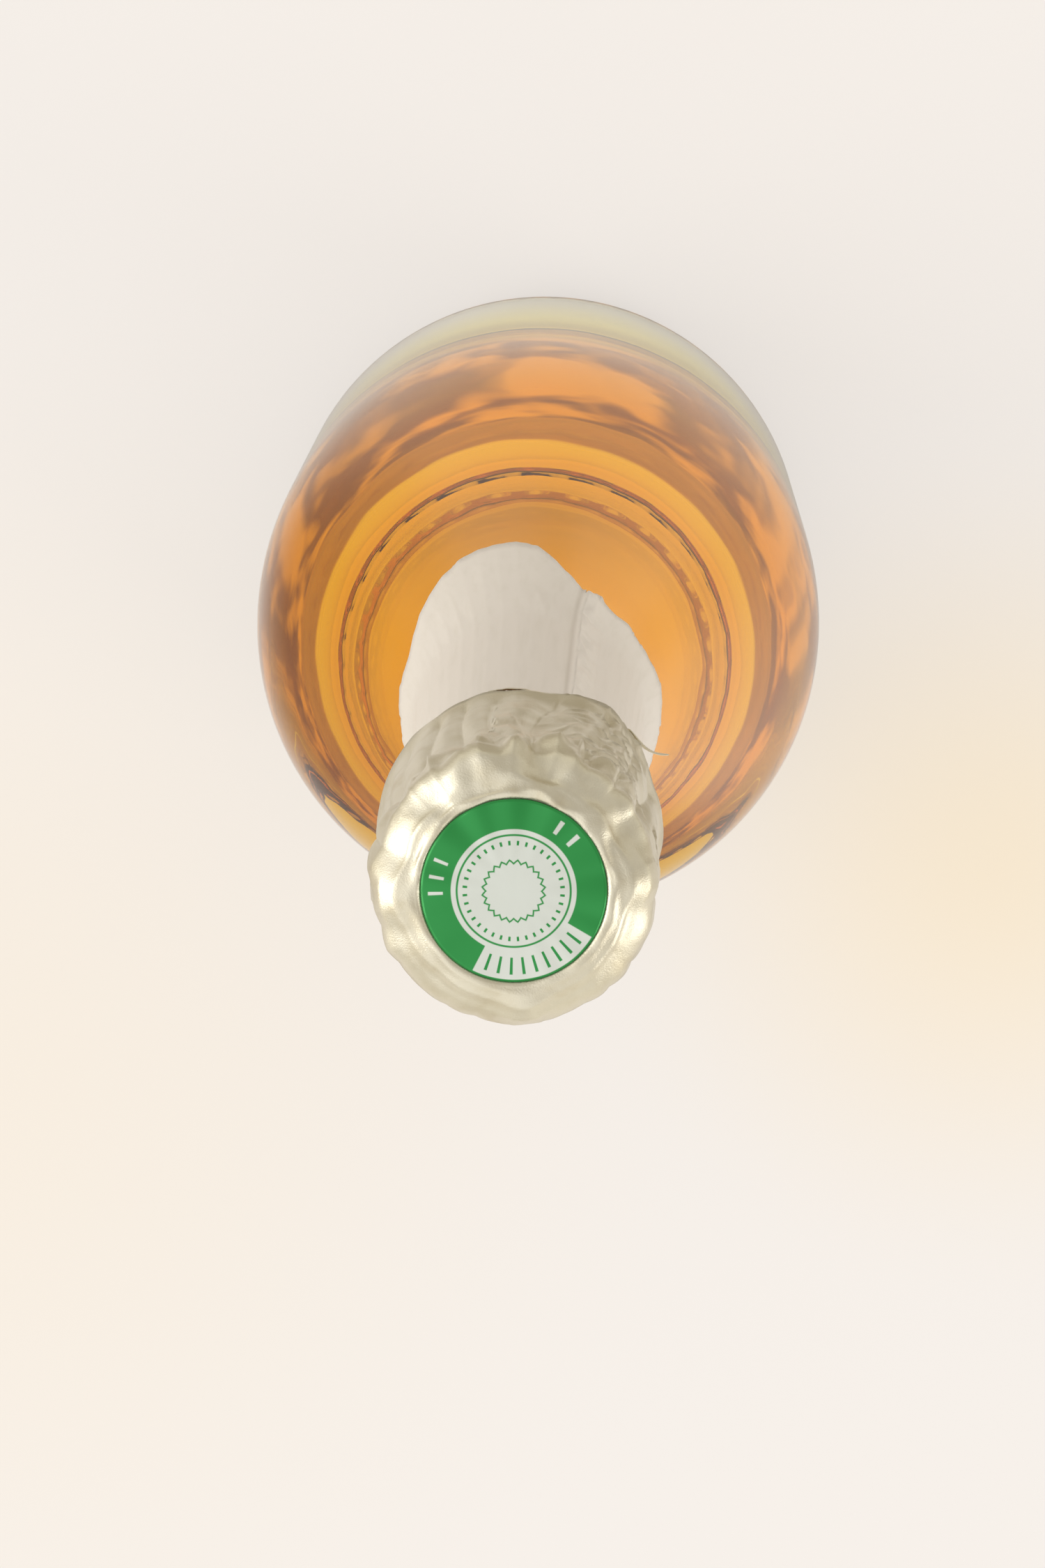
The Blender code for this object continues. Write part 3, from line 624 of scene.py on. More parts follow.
def lobe(angle, drop):
    """0 in the sharp valleys between the lobes of the gathered foil, 1 on their crests. They lean as they go down."""
    wander = LOBE_WANDER * noise.noise(around(angle, 1.6, 3.0 + drop * 30))
    turn = angle / math.tau * LOBES + wander + drop * LOBE_LEAN
    return abs(math.sin(math.pi * turn)) ** LOBE_SHARPNESS


def hood_relief(angle, place, drop):
    """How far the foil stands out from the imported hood, a distance below the top."""
    front = bell(apart(angle, FRONT_TURN), 0.0, FRONT_WIDTH)
    key = bell(apart(angle, KEY_TURN), 0.0, KEY_WIDTH) * ramp((drop - KEY_START) / KEY_RISE)
    leg = bell(min(apart(angle, turn) for turn in LEG_TURNS), 0.0, LEG_WIDTH)
    pinch = bell(apart(angle, PINCH_TURN), 0.0, PINCH_WIDTH)
    past_seal = place.xy.length - SEAL_RADIUS
    head = ramp((past_seal - HEAD_START) / HEAD_RISE) * (1 - ramp((drop - HEAD_END) / HEAD_FALL))
    rim = zone(drop, *RIM_ZONE)
    side = zone(drop, *SIDE_ZONE)

    out = rim * mix(*RIM_LOBES, front) * (lobe(angle, 0.0) - LOBE_LEVEL)
    out += head * mix(*DIMPLES, front) * noise.noise(place * DIMPLE_SCALE + Vector((4.0, 9.0, 1.0)))
    out += head * mix(*CREASES, front) * (creases(place * CREASE_SCALE) - CREASE_LEVEL)
    out += rim * mix(*RIM_GRAIN, front) * noise.noise(place * RIM_GRAIN_SCALE)
    out -= ramp(past_seal / ROUNDING_START) * (1 - LEG_SHARE * leg) * ROUNDING * bell(drop, *ROUNDING_AT)
    out -= leg * LEG_PRESS * ramp((drop - LEG_START) / LEG_RISE)
    for turn, middle, wide, height in FOLDS:
        out += height * math.exp(-apart(angle, turn) / wide) * bell(drop, middle, FOLD_LENGTH)
    out += pinch * (PINCH_CREST * bell(drop, *PINCH_CREST_AT) - PINCH_VALLEY * bell(drop, *PINCH_VALLEY_AT))
    out += key * KEY_CREASES * (creases(place * KEY_CREASE_SCALE + Vector((0.3, 0.0, 0.0))) - CREASE_LEVEL)
    out += side * PLEATS * (lobe(angle, drop) - LOBE_LEVEL) + side * SIDE_GRAIN * noise.noise(place * SIDE_GRAIN_SCALE)
    out -= WAIST * bell(drop, *WAIST_AT)
    from_ridge = abs(drop - RIDGE_DROP - RING_WANDER * noise.noise(around(angle, 1.5, 9.0)))
    return out + RING_RIDGE * math.exp(-from_ridge / RING_RIDGE_WIDTH)


# %% [markdown]
# A flat disc of rings is turned first. Its inner rings stay under the seal, and each point outside them is sent out
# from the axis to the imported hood, first over the head and then down the side. The seal presses its seat into the foil.

# %% Shape the hood
HOOD_COLUMNS = 360
HOOD_ROWS = 96
HEAD_ROWS = 36
TOP_ROWS = 8
UNDER_SEAL = 0.00002
FOOT_INSET = 0.00005
SMOOTHED_OVER = (-4, -2, 0, 2, 4)
FELT_AT = (-3, -1.5, 0, 1.5, 3)
REST_SPAN = 0.0006
PRESSED_WIDTH = 0.0030
SEAT_WIDTH = 0.0012

hood_outline = [(SEAL_RADIUS * step / TOP_ROWS, TOP_Z) for step in range(TOP_ROWS + 1)]
hood_outline += [(mix(SEAL_RADIUS, BODY_RADIUS, step / HOOD_ROWS), TOP_Z) for step in range(1, HOOD_ROWS + 1)]
hood = lathe("hood", hood_outline, HOOD_COLUMNS)

head_z = TOP_Z - HEAD_DROP
first_rise = math.atan2(HEAD_DROP, SEAL_RADIUS)
for point in hood.data.vertices:
    radius = point.co.xy.length
    if radius <= SEAL_RADIUS + 0.00001:
        point.co.z = TOP_Z - SEAL_SHEET - UNDER_SEAL - top_dents(point.co.x, point.co.y)
        continue
    angle = math.atan2(point.co.y, point.co.x)
    row = round((radius - SEAL_RADIUS) / (BODY_RADIUS - SEAL_RADIUS) * HOOD_ROWS)
    rise = first_rise * max(1 - row / HEAD_ROWS, 0.0)
    down = max(row - HEAD_ROWS, 0) / (HOOD_ROWS - HEAD_ROWS)
    start = Vector((0.0, 0.0, mix(head_z, HOOD_FOOT_Z + FOOT_INSET, down)))
    near = [reach(hood_surface, start, angle + math.radians(turn), rise) for turn in SMOOTHED_OVER]
    distance = sum(near) / len(near)
    way = around(angle, math.cos(rise), math.sin(rise))
    place = start + way * distance
    distance += hood_relief(angle, place, TOP_Z - place.z) - PACKED_FOIL / 2
    filled = [reach(under_hood, start, angle + math.radians(turn), rise) for turn in FELT_AT]
    point.co = start + way * rounded_max(distance, max(filled) + FOIL + CLEARANCE, REST_SPAN)
    seal_edge = around(angle, SEAL_RADIUS, 0.0)
    past_seal = point.co.xy.length - SEAL_RADIUS
    pressed = top_dents(seal_edge.x, seal_edge.y) * (1 - ramp(past_seal / PRESSED_WIDTH))
    seat = TOP_Z - SEAL_SHEET - pressed
    point.co.z = min(mix(seat, point.co.z, ramp(past_seal / SEAT_WIDTH)), seat)
thicken(hood, FOIL)

# %% [markdown]
# The foil is aluminium with a pale gold lacquer. A fine grain makes it sparkle, and the band under the glass ring
# keeps the upright lines of the roller that pressed it on.

# %% Finish the hood
GOLD = (0.84, 0.79, 0.64)
DEEP_GOLD = (0.66, 0.58, 0.40)
BAND_INSET, BAND_HEIGHT, BAND_SOFT = 0.001, 0.0035, 0.0006

gold = Finish("hood_foil", Metallic=0.9, IOR=1.5)
worn = gold.noise(220.0, detail=6.0)
gold.set("Base Color", gold.blend(GOLD, DEEP_GOLD, worn.above(0.62, 0.18) * 0.6))
gold.set("Roughness", 0.32 + 0.08 * gold.noise(900.0, detail=3.0) + 0.06 * worn)
grain = gold.bump(gold.noise(4600.0, detail=2.0), strength=0.55, distance=0.00005)
lines = gold.node("ShaderNodeTexNoise", {}, Vector=gold.stretched((1.0, 1.0, 0.04)), Scale=2600.0, Detail=2.0)
band = gold.along(2).between(HOOD_FOOT_Z - BAND_INSET, HOOD_FOOT_Z + BAND_HEIGHT, BAND_SOFT)
gold.set("Normal", gold.bump(lines * band, strength=0.5, distance=0.00008, after=grain))
dressed(hood, gold, "hood", "foil_hood", slot="hood_foil")

# %% [markdown]
# ## The seal
#
# A thin printed disc lies on the hood and takes its dents. The print is a green band with a white ring, a white field
# let into its lower side, and a pale middle. Plain ticks and a plain rosette stand in for any print.

# %% Shape the seal
SEAL_STEPS = 180
SEAL_ROWS = 30
seal = lathe("seal", [(SEAL_RADIUS * step / SEAL_ROWS, TOP_Z) for step in range(SEAL_ROWS + 1)], SEAL_STEPS)
for point in seal.data.vertices:
    point.co.z = TOP_Z - top_dents(point.co.x, point.co.y)
thicken(seal, SEAL_SHEET)

# %% [markdown]
# The print is drawn from two numbers, the distance from the middle and the angle about it, so it stays sharp at any
# size. Each mark is a mask from 0 to 1, and the masks add up to one share of green. Radii are shares of the seal's.

# %% Print the seal
GREEN = (0.020, 0.30, 0.060)
PAPER = (0.74, 0.78, 0.72)
FIELD_START, FIELD_END = 63.0 / 360.0, 149.0 / 360.0
RING_OUT = 0.675
LINE_OUT, LINE_IN = 0.622, 0.600
BORDER = 0.975
BAND_TICKS, FIELD_TICKS, RING_TICKS = (0.76, 0.92), (0.73, 0.92), (0.50, 0.55)
ROSETTE_RADIUS, ROSETTE_DEPTH, ROSETTE_POINTS = 0.30, 0.08, 24.0
SOFT = 0.006

printed = Finish("seal_print", Metallic=0.45, IOR=1.5, Coat_Weight=0.25, Coat_Roughness=0.2)
radius, turn = printed.polar()
radius = radius / SEAL_RADIUS
in_field = turn.between(FIELD_START, FIELD_END, 0.0012)
band = radius.above(RING_OUT, SOFT)
border = radius.above(BORDER, SOFT)
line = radius.between(LINE_IN, LINE_OUT, SOFT)


def ticks(count, start, end, low, high, width):
    """Plain marks at equal steps of angle, between two radii."""
    share = (turn - start / 360.0) / ((end - start) / 360.0)
    inside_span = share.between(0.0, 1.0, 0.002)
    wave = (share * count - 0.5).maths("PINGPONG", 0.5)
    return inside_span * (1 - wave.above(width, 0.03)) * radius.between(low, high, SOFT)


marks_on_band = ticks(3, -28, 8, *BAND_TICKS, 0.10) + ticks(2, -146, -118, *BAND_TICKS, 0.12)
marks_in_field = ticks(9, 66, 146, *FIELD_TICKS, 0.12)
rosette = (turn * ROSETTE_POINTS).maths("PINGPONG", 0.5)
rosette = (radius - ROSETTE_RADIUS - rosette * ROSETTE_DEPTH).maths("ABSOLUTE")
marks_in_middle = (1 - rosette.above(0.012, 0.008)) + ticks(36, -180, 180, *RING_TICKS, 0.14)
green = band * (1 - in_field) * (1 - marks_on_band) + in_field * (border + marks_in_field * band)
green = (green + line + marks_in_middle).maths("MINIMUM", 1.0)
printed.set("Base Color", printed.blend(PAPER, GREEN, green))
printed.set("Roughness", 0.26 + 0.12 * printed.noise(500.0, detail=4.0))
printed.set("Normal", printed.bump(printed.noise(420.0, detail=5.0), strength=0.25, distance=0.00006))
dressed(seal, printed, "hood", "seal_disc", slot="seal_print")

# %% [markdown]
# ## Neck foil, tear strip and tab
#
# The foil on the neck is cut from flat sheet, so one edge laps over the other in an upright seam. Its foot is torn,
# not cut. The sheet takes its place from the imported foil, and nowhere goes closer to the glass than a small gap. Above
# it runs the tear strip, and its loose end stands away from the neck.

# %% Shape the neck foil
NECK_COLUMNS = 400
NECK_ROWS = 56
SEAM_TURN = -114.0
LAP = 0.00050
SEAM_GROOVE, SEAM_GROOVE_TURN = 0.00015, 1.5
CRUMPLE_RISE, CRUMPLE_END, CRUMPLE_FALL = 0.9, 5, 12
ROLLED_GRAIN = 0.00006
HEM_WRINKLES, HEM_WRINKLE_HEIGHT = 0.00010, 0.010
BITES, SMALL_BITES = 0.0005, 0.0003
HEM_LIFT, HEM_INSET, UPPER_INSET = 0.0002, 0.0003, 0.0002
HEM_SEARCH, HALVINGS = 0.02, 12
NECK_GAP = 0.00008

neck_low, neck_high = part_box("neck_foil")
neck_surface = surface_of("neck_foil")


def packed_hem(angle):
    """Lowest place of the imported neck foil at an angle, found by halving."""
    low, high = neck_low.z, neck_high.z - HEM_SEARCH
    for _ in range(HALVINGS):
        middle = (low + high) / 2
        if reach(neck_surface, Vector((0.0, 0.0, middle)), angle, 0.0) is None:
            low = middle
        else:
            high = middle
    return high


def torn(angle):
    """Small bites along the torn edge."""
    large = noise.fractal(around(angle, 9.0, 2.0), 0.7, 2.1, 4)
    return BITES * large + SMALL_BITES * ridge(around(angle, 5.0, 7.0))


neck = lathe("neck", [(BODY_RADIUS, mix(0.0, 1.0, step / NECK_ROWS)) for step in range(NECK_ROWS + 1)], NECK_COLUMNS)
hems = {}
for point in neck.data.vertices:
    angle = math.atan2(point.co.y, point.co.x)
    column = round(math.degrees(angle) * 100)
    if column not in hems:
        hems[column] = packed_hem(angle) + HEM_LIFT
    hem = hems[column]
    foot = hem + max(torn(angle), 0.0)
    z = mix(foot, neck_high.z, point.co.z)
    on_foil = min(max(z, hem + HEM_INSET), neck_high.z - UPPER_INSET)
    far = reach(neck_surface, Vector((0.0, 0.0, on_foil)), angle, 0.0)
    place = around(angle, far, z)
    past_seam = (SEAM_TURN - math.degrees(angle)) % 360
    crumpled = ramp(past_seam / CRUMPLE_RISE) * (1 - ramp((past_seam - CRUMPLE_END) / CRUMPLE_FALL))
    beside = apart(angle, SEAM_TURN + SEAM_GROOVE_TURN)
    relief = LAP * crumpled * (0.6 + 1.2 * creases(place * 260)) - SEAM_GROOVE * bell(beside, 0, SEAM_GROOVE_TURN)
    relief += ROLLED_GRAIN * noise.noise(Vector((place.x * 90, place.y * 90, place.z * 500)))
    wrinkles = ridge(Vector((place.x * 260, place.y * 260, place.z * 40)))
    relief += HEM_WRINKLES * wrinkles * bell(z, foot, HEM_WRINKLE_HEIGHT)
    on_glass = outer_radius(z) + NECK_GAP + FOIL
    point.co = around(angle, max(far - PACKED_FOIL / 2 + relief, on_glass), z)
thicken(neck, FOIL)

# %% [markdown]
# This foil is paler and more matt than the hood, like lacquered paper. The rollers leave fine upright and level
# streaks, and the fold beside the seam is darkened with painted shade.

# %% Finish the neck foil
NECK_PALE = (0.91, 0.86, 0.77)
NECK_DEEP = (0.85, 0.80, 0.70)
NECK_FOLD_SHADE = (0.66, 0.60, 0.51)
SEAM_SHADE_TURNS = (0.2, 2.2)
matte = Finish("neck_foil", Metallic=0.12, IOR=1.5)
streaks = matte.node("ShaderNodeTexNoise", {}, Vector=matte.stretched((1.0, 1.0, 0.05)), Scale=900.0, Detail=3.0)
rolled = matte.node("ShaderNodeTexNoise", {}, Vector=matte.stretched((0.08, 0.08, 1.0)), Scale=1400.0, Detail=2.0)
radius, turn = matte.polar()
# Painted shade: a thin band on the groove beside the seam is darkened in the colour.
seam = turn.between((SEAM_TURN + SEAM_SHADE_TURNS[0]) / 360, (SEAM_TURN + SEAM_SHADE_TURNS[1]) / 360, 0.003)
plain = matte.blend(NECK_PALE, NECK_DEEP, streaks.above(0.60, 0.16) * 0.45)
matte.set("Base Color", matte.blend(plain, NECK_FOLD_SHADE, seam * 0.5))
matte.set("Roughness", 0.42 + 0.12 * streaks + 0.06 * rolled)
fine = matte.bump(matte.noise(7000.0, detail=2.0), strength=0.25, distance=0.00002)
matte.set("Normal", matte.bump(streaks + rolled, strength=0.3, distance=0.00004, after=fine))
dressed(neck, matte, "bottle", "neck_foil", slot="neck_foil")

# %% [markdown]
# The tear strip is a band of foil between two rows of small holes. They are dents here, at equal steps of angle,
# because holes as fine as these would not show.

# %% Shape the tear strip
STRIP_COLUMNS = 480
STRIP_ROWS = 20
STRIP_INSET = 0.04
HOLE_ROWS, HOLE_WIDTH = (0.12, 0.88), 0.08
HOLES_TO_HALF_A_TURN = 60
HOLE_DEPTH = 0.00014
STRIP_BULGE, STRIP_GRAIN = 0.00008, 0.00006
strip_low, strip_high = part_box("tear_strip")
strip_surface = surface_of("tear_strip")
strip = lathe("strip", [(BODY_RADIUS, step / STRIP_ROWS) for step in range(STRIP_ROWS + 1)], STRIP_COLUMNS)
for point in strip.data.vertices:
    angle = math.atan2(point.co.y, point.co.x)
    share = point.co.z
    z = mix(strip_low.z, strip_high.z, share)
    on_strip = mix(strip_low.z, strip_high.z, STRIP_INSET + (1 - 2 * STRIP_INSET) * share)
    far = reach(strip_surface, Vector((0.0, 0.0, on_strip)), angle, 0.0)
    edge = sum(bell(share, row, HOLE_WIDTH) for row in HOLE_ROWS)
    punched = ramp(1.6 * abs(math.sin(angle * HOLES_TO_HALF_A_TURN)) - 0.6)
    relief = STRIP_BULGE * bell(share, 0.5, 0.25) - HOLE_DEPTH * edge * punched
    relief += STRIP_GRAIN * ridge(around(angle, 6.0, share * 3))
    point.co = around(angle, far - PACKED_FOIL / 2 + relief, z)
thicken(strip, FOIL)
dressed(strip, gold, "bottle", "tear_strip", slot="hood_foil")


# %% [markdown]
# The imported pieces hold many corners, because flat faces don't share them. A copy with joined corners can be smoothed.
# The wires keep their packed route. The tab is bent on: the further a point is from the root, the more it curls away.


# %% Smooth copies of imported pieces
def smooth_copy(node, levels):
    """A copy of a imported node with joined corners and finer, rounder faces."""
    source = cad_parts[node]
    copy = bpy.data.objects.new(node + "_fine", source.data.copy())
    copy.matrix_world = source.matrix_world
    bpy.context.scene.collection.objects.link(copy)
    bpy.ops.object.select_all(action="DESELECT")
    copy.select_set(True)
    bpy.context.view_layer.objects.active = copy
    bpy.ops.object.mode_set(mode="EDIT")
    bpy.ops.mesh.select_all(action="SELECT")
    bpy.ops.mesh.remove_doubles(threshold=0.000005)
    bpy.ops.mesh.tris_convert_to_quads()
    bpy.ops.object.mode_set(mode="OBJECT")
    finer = copy.modifiers.new("finer", "SUBSURF")
    finer.levels = finer.render_levels = levels
    bpy.ops.object.modifier_apply(modifier=finer.name)
    bpy.ops.object.shade_smooth()
    return copy


# %% Curl the tab
TAB_CURL = 0.0018
TAB_TURN_BACK = math.radians(6.0)
tab = smooth_copy("tear_tab", 3)
root = max(tab.data.vertices, key=lambda point: math.atan2(point.co.y, point.co.x)).co.xy
tab_length = max((point.co.xy - root).length for point in tab.data.vertices)
for point in tab.data.vertices:
    share = (point.co.xy - root).length / tab_length
    angle = math.atan2(point.co.y, point.co.x) + TAB_TURN_BACK * share**2
    point.co = around(angle, point.co.xy.length + TAB_CURL * share**2, point.co.z)
dressed(tab, gold, "tab", "tear_tab", slot="hood_foil")

# %% [markdown]
# The cage is of bright drawn wire. A metal with no pattern looks like plastic, so its gloss varies and fine lines run
# up it.

# %% Wires of the cage
steel = Finish("cage_wire", Metallic=1.0, Base_Color=(0.56, 0.55, 0.53))
steel.set("Roughness", 0.28 + 0.22 * steel.noise(1800.0, detail=5.0))
drawn_lines = steel.noise(6000.0, detail=3.0, where=steel.stretched((1.0, 1.0, 0.15)))
steel.set("Normal", steel.bump(drawn_lines, strength=0.3, distance=0.00002))
for node in ("cage_frame_wire", "belt_key_wire"):
    wire = smooth_copy(node, 1)
    dressed(wire, steel, "cage", node, slot="cage_wire")

# %% [markdown]
# ## Cork and cap
#
# A metal cap lies on the cork and keeps the wire from cutting in. It is pressed from one sheet, with a raised crown, a
# groove for the wire and a rim that is turned down, so its outline runs over the top and back underneath.

# %% Spin the cap
cap_low, cap_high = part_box("cap_plaque")
cork_low, cork_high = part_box("cork_body")
CAP_RADIUS = cap_high.x
CAP_SHEET = 0.0004
GROOVE_Z = cork_high.z + SKIN + CAP_SHEET
CROWN_Z = cap_high.z
RIM_Z = GROOVE_Z + 0.0007
CROWN_RADIUS = 0.0082
GROOVE_START, GROOVE_END = 0.0111, 0.0133
RIM_ROUND = 0.0007
RIM_DEPTH = 0.0012
CROWN_DISH = 0.0002
SLOPE_ROWS = 12
CAP_STEPS = 160

dish_z = CROWN_Z - CROWN_DISH
cap_outline = [(0.0, dish_z), (CROWN_RADIUS * 0.55, dish_z), (CROWN_RADIUS * 0.60, CROWN_Z)]
for step in range(SLOPE_ROWS + 1):
    share = step / SLOPE_ROWS
    cap_outline.append((mix(CROWN_RADIUS, GROOVE_START, share), mix(CROWN_Z, GROOVE_Z, ramp(share))))
cap_outline += [(GROOVE_END, GROOVE_Z)]
cap_outline += arc((CAP_RADIUS - RIM_ROUND, RIM_Z - RIM_ROUND), RIM_ROUND, 120, 0, 10)
cap_outline += [(CAP_RADIUS, cap_low.z + 0.0002), (CAP_RADIUS - CAP_SHEET / 2, cap_low.z)]
cap_under = [(CAP_RADIUS - CAP_SHEET, cap_low.z + 0.0002), (CAP_RADIUS - CAP_SHEET, RIM_Z - RIM_DEPTH)]
cap_under += [(GROOVE_END - 0.0002, GROOVE_Z - CAP_SHEET), (GROOVE_START - 0.0003, GROOVE_Z - CAP_SHEET)]
cap_under += [(CROWN_RADIUS - 0.0003, CROWN_Z - CAP_SHEET), (0.0, CROWN_Z - CAP_SHEET - 0.0001)]
cap = lathe("cap", cap_outline + cap_under, CAP_STEPS)

tin = Finish("cap_metal", Metallic=1.0, Base_Color=(0.72, 0.68, 0.56))
brushed = tin.noise(1500.0, detail=4.0, where=tin.stretched((0.05, 1.0, 1.0)))
tin.set("Roughness", 0.26 + 0.18 * brushed)
tin.set("Normal", tin.bump(brushed, strength=0.25, distance=0.00003))
dressed(cap, tin, "cage", "cap_plaque", slot="cap_metal")

# %% [markdown]
# The cork is pressed from granules. It went in as a straight plug, and what stays outside the bore springs back into a
# mushroom, squeezed at the top by the cap. Under its head the outline follows the rounded lip at a small distance, so
# that it touches no glass.

# %% Spin the cork
STEM_RADIUS = BORE_RADIUS - SKIN
HEAD_RADIUS = cork_high.x
CHAMFER = 0.0005
CORK_ROUND = 0.0008
SQUEEZE = 0.0025
HEAD_RISE_ROWS, STEM_ROWS, CORK_STEPS = 14, 8, 160
HEAD_SHARE = 0.45
under_cap = CAP_RADIUS - CAP_SHEET - SKIN
squeeze_z = cork_high.z - SQUEEZE

cork_outline = [(under_cap * step / 6, cork_high.z) for step in range(6)]
cork_outline += arc((under_cap - CORK_ROUND, cork_high.z - CORK_ROUND), CORK_ROUND, 90, 0, 5)
cork_outline += [(under_cap, squeeze_z + 0.0004), (under_cap, squeeze_z), (HEAD_RADIUS - 0.0001, squeeze_z - 0.0012)]
waist_z = LIP_Z + 0.0004
for step in range(1, HEAD_RISE_ROWS + 1):
    share = step / HEAD_RISE_ROWS
    height = mix(squeeze_z - 0.0020, waist_z, share)
    drop = (height - waist_z) / (squeeze_z - waist_z)
    across = mix(BORE_RADIUS + LIP_ROUND, HEAD_RADIUS, min(drop / HEAD_SHARE, 1.0) ** HEAD_SHARE)
    cork_outline.append((across, height))
cork_outline += arc((BORE_RADIUS + LIP_ROUND, LIP_Z - LIP_ROUND), LIP_ROUND + SKIN, 90, 180, 6)
stem_rows = [mix(LIP_Z - LIP_ROUND, cork_low.z + CHAMFER, step / STEM_ROWS) for step in range(1, STEM_ROWS + 1)]
cork_outline += [(STEM_RADIUS, z) for z in stem_rows]
cork_outline += [(STEM_RADIUS - CHAMFER, cork_low.z), (0.0, cork_low.z)]
cork = lathe("cork", cork_outline, CORK_STEPS)

# %% Finish the cork
CELLS = 480.0
GRANULE_DARK, GRANULE_PALE, GRANULE_SEAM = (0.36, 0.19, 0.085), (0.62, 0.40, 0.21), (0.16, 0.08, 0.04)
granules = Finish("agglomerate_cork", Roughness=0.8, IOR=1.4)
cells = granules.node("ShaderNodeTexVoronoi", {"feature": "F1"}, Vector=granules.place, Scale=CELLS, out="Color")
tone = granules.node("ShaderNodeSeparateColor", {}, cells)
seams = granules.node("ShaderNodeTexVoronoi", {"feature": "DISTANCE_TO_EDGE"}, Vector=granules.place, Scale=CELLS)
body_colour = granules.blend(GRANULE_DARK, GRANULE_PALE, tone)
granules.set("Base Color", granules.blend(GRANULE_SEAM, body_colour, seams.above(0.06, 0.05)))
pits = seams.maths("MINIMUM", 0.2) + 0.2 * granules.noise(4000.0)
granules.set("Normal", granules.bump(pits, strength=0.5, distance=0.0002))
dressed(cork, granules, "cork", "cork_body", slot="agglomerate_cork")

# %% [markdown]
# Two discs of whole cork close the lower end, where the wine is. They show long grain and dark pores.

# %% Spin the two discs
WHOLE_DARK, WHOLE_PALE, PORE = (0.46, 0.27, 0.13), (0.66, 0.45, 0.26), (0.15, 0.07, 0.03)
DISC_ROWS, DISC_STEPS = 5, 120
whole = Finish("natural_cork", Roughness=0.75, IOR=1.4)
grain_lines = whole.noise(420.0, detail=6.0, where=whole.stretched((0.35, 1.0, 1.0)))
pores = whole.node("ShaderNodeTexVoronoi", {}, Vector=whole.stretched((0.5, 1.0, 1.0)), Scale=700.0)
whole_colour = whole.blend(WHOLE_DARK, WHOLE_PALE, grain_lines.above(0.5, 0.2))
whole.set("Base Color", whole.blend(PORE, whole_colour, pores.above(0.14, 0.06)))
whole.set("Normal", whole.bump(pores.maths("MINIMUM", 0.25) + 0.3 * grain_lines, strength=0.5, distance=0.0002))
for node in ("cork_disc_upper", "cork_disc_lower"):
    disc_low, disc_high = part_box(node)
    edge_radius = disc_high.x
    disc_outline = [((edge_radius - CHAMFER) * step / DISC_ROWS, disc_high.z) for step in range(DISC_ROWS + 1)]
    disc_outline += [(edge_radius, disc_high.z - CHAMFER), (edge_radius, disc_low.z + CHAMFER)]
    disc_outline += [((edge_radius - CHAMFER) * (1 - step / DISC_ROWS), disc_low.z) for step in range(DISC_ROWS + 1)]
    disc = lathe(node + "_fine", disc_outline, DISC_STEPS)
    dressed(disc, whole, "cork", node, slot="natural_cork")

# %% [markdown]
# ## Table and light
#
# The bottle stands on a plain pale table in soft studio light. A large lamp on the left of the picture gives the
# highlights on the shoulder and the foil, and a weaker one fills the other side. The table glows with painted light of
# its own: to the camera with painted warm pools of light, to rays that went through the glass with painted light and
# painted shade, and to those that gloss sends far off with painted patches of light and shade.


# %% Table and lamps
def soft_lamp(name, place, size, power, colour):
    data = bpy.data.lights.new(name, "AREA")
    data.shape = "RECTANGLE"
    data.size, data.size_y = size
    data.energy = power
    data.color = colour
    lamp = bpy.data.objects.new(name, data)
    lamp.location = place
    lamp.visible_transmission = False
    aim = Vector((0.0, 0.0, LIP_Z / 2)) - Vector(place)
    lamp.rotation_euler = aim.to_track_quat("-Z", "Y").to_euler()
    bpy.context.scene.collection.objects.link(lamp)


TABLE_COLOUR = (0.86, 0.82, 0.78)
TABLE_SEEN = (0.955, 0.91, 0.865)
TABLE_CAUSTIC_GLOW = (1.00, 0.84, 0.60)
SEEN_SHARE = 0.62
TABLE_SIZE, TABLE_DROP = 6.0, 0.0002
UNDER_PUNT = (1.00, 0.99, 0.97)
UNDER_SHADE = (0.62, 0.58, 0.60)
HEEL_GLOW_SEEN = (1.00, 0.96, 0.75)
FOOT_SHADE_SEEN = (0.52, 0.34, 0.18)
FAR_DARK = (0.24, 0.21, 0.21)
FAR_LIGHT = (0.85, 0.80, 0.76)
FAR_GOLDEN = (0.37, 0.32, 0.23)
BOARD_RADIUS = 0.10

bpy.ops.object.select_all(action="DESELECT")
bpy.ops.mesh.primitive_plane_add(size=TABLE_SIZE, location=(0.0, 0.0, -TABLE_DROP))
table = bpy.context.object
table.name = "table"
pale = Finish("pale_table", Base_Color=TABLE_COLOUR, Roughness=0.6, Specular_IOR_Level=0.2)
radius, turn = pale.polar()
# Painted light: warm pools on the table, where light through the wine would fall.
caustic_glow = pale.spot((-0.085, 0.060, 0.0), 0.085) + 0.45 * pale.spot((0.12, 0.10, 0.0), 0.16)
seen = pale.node("ShaderNodeEmission", {}, pale.blend(TABLE_SEEN, TABLE_CAUSTIC_GLOW, caustic_glow), 1.0)
# Seen through the glass: a painted shade spot under the neck, a painted warm glow under the heel, painted shade past
# the foot.
under = pale.blend(UNDER_PUNT, UNDER_SHADE, pale.spot((0.0, 0.027, 0.0), 0.026))
under = pale.blend(under, HEEL_GLOW_SEEN, radius.above(punt_edge, 0.002))
under = pale.blend(under, FOOT_SHADE_SEEN, radius.above(BODY_RADIUS + 0.002, 0.004))
through = pale.node("ShaderNodeEmission", {}, under, 1.0)
sharp = pale.node("ShaderNodeLightPath", {}, out="Is Singular Ray")
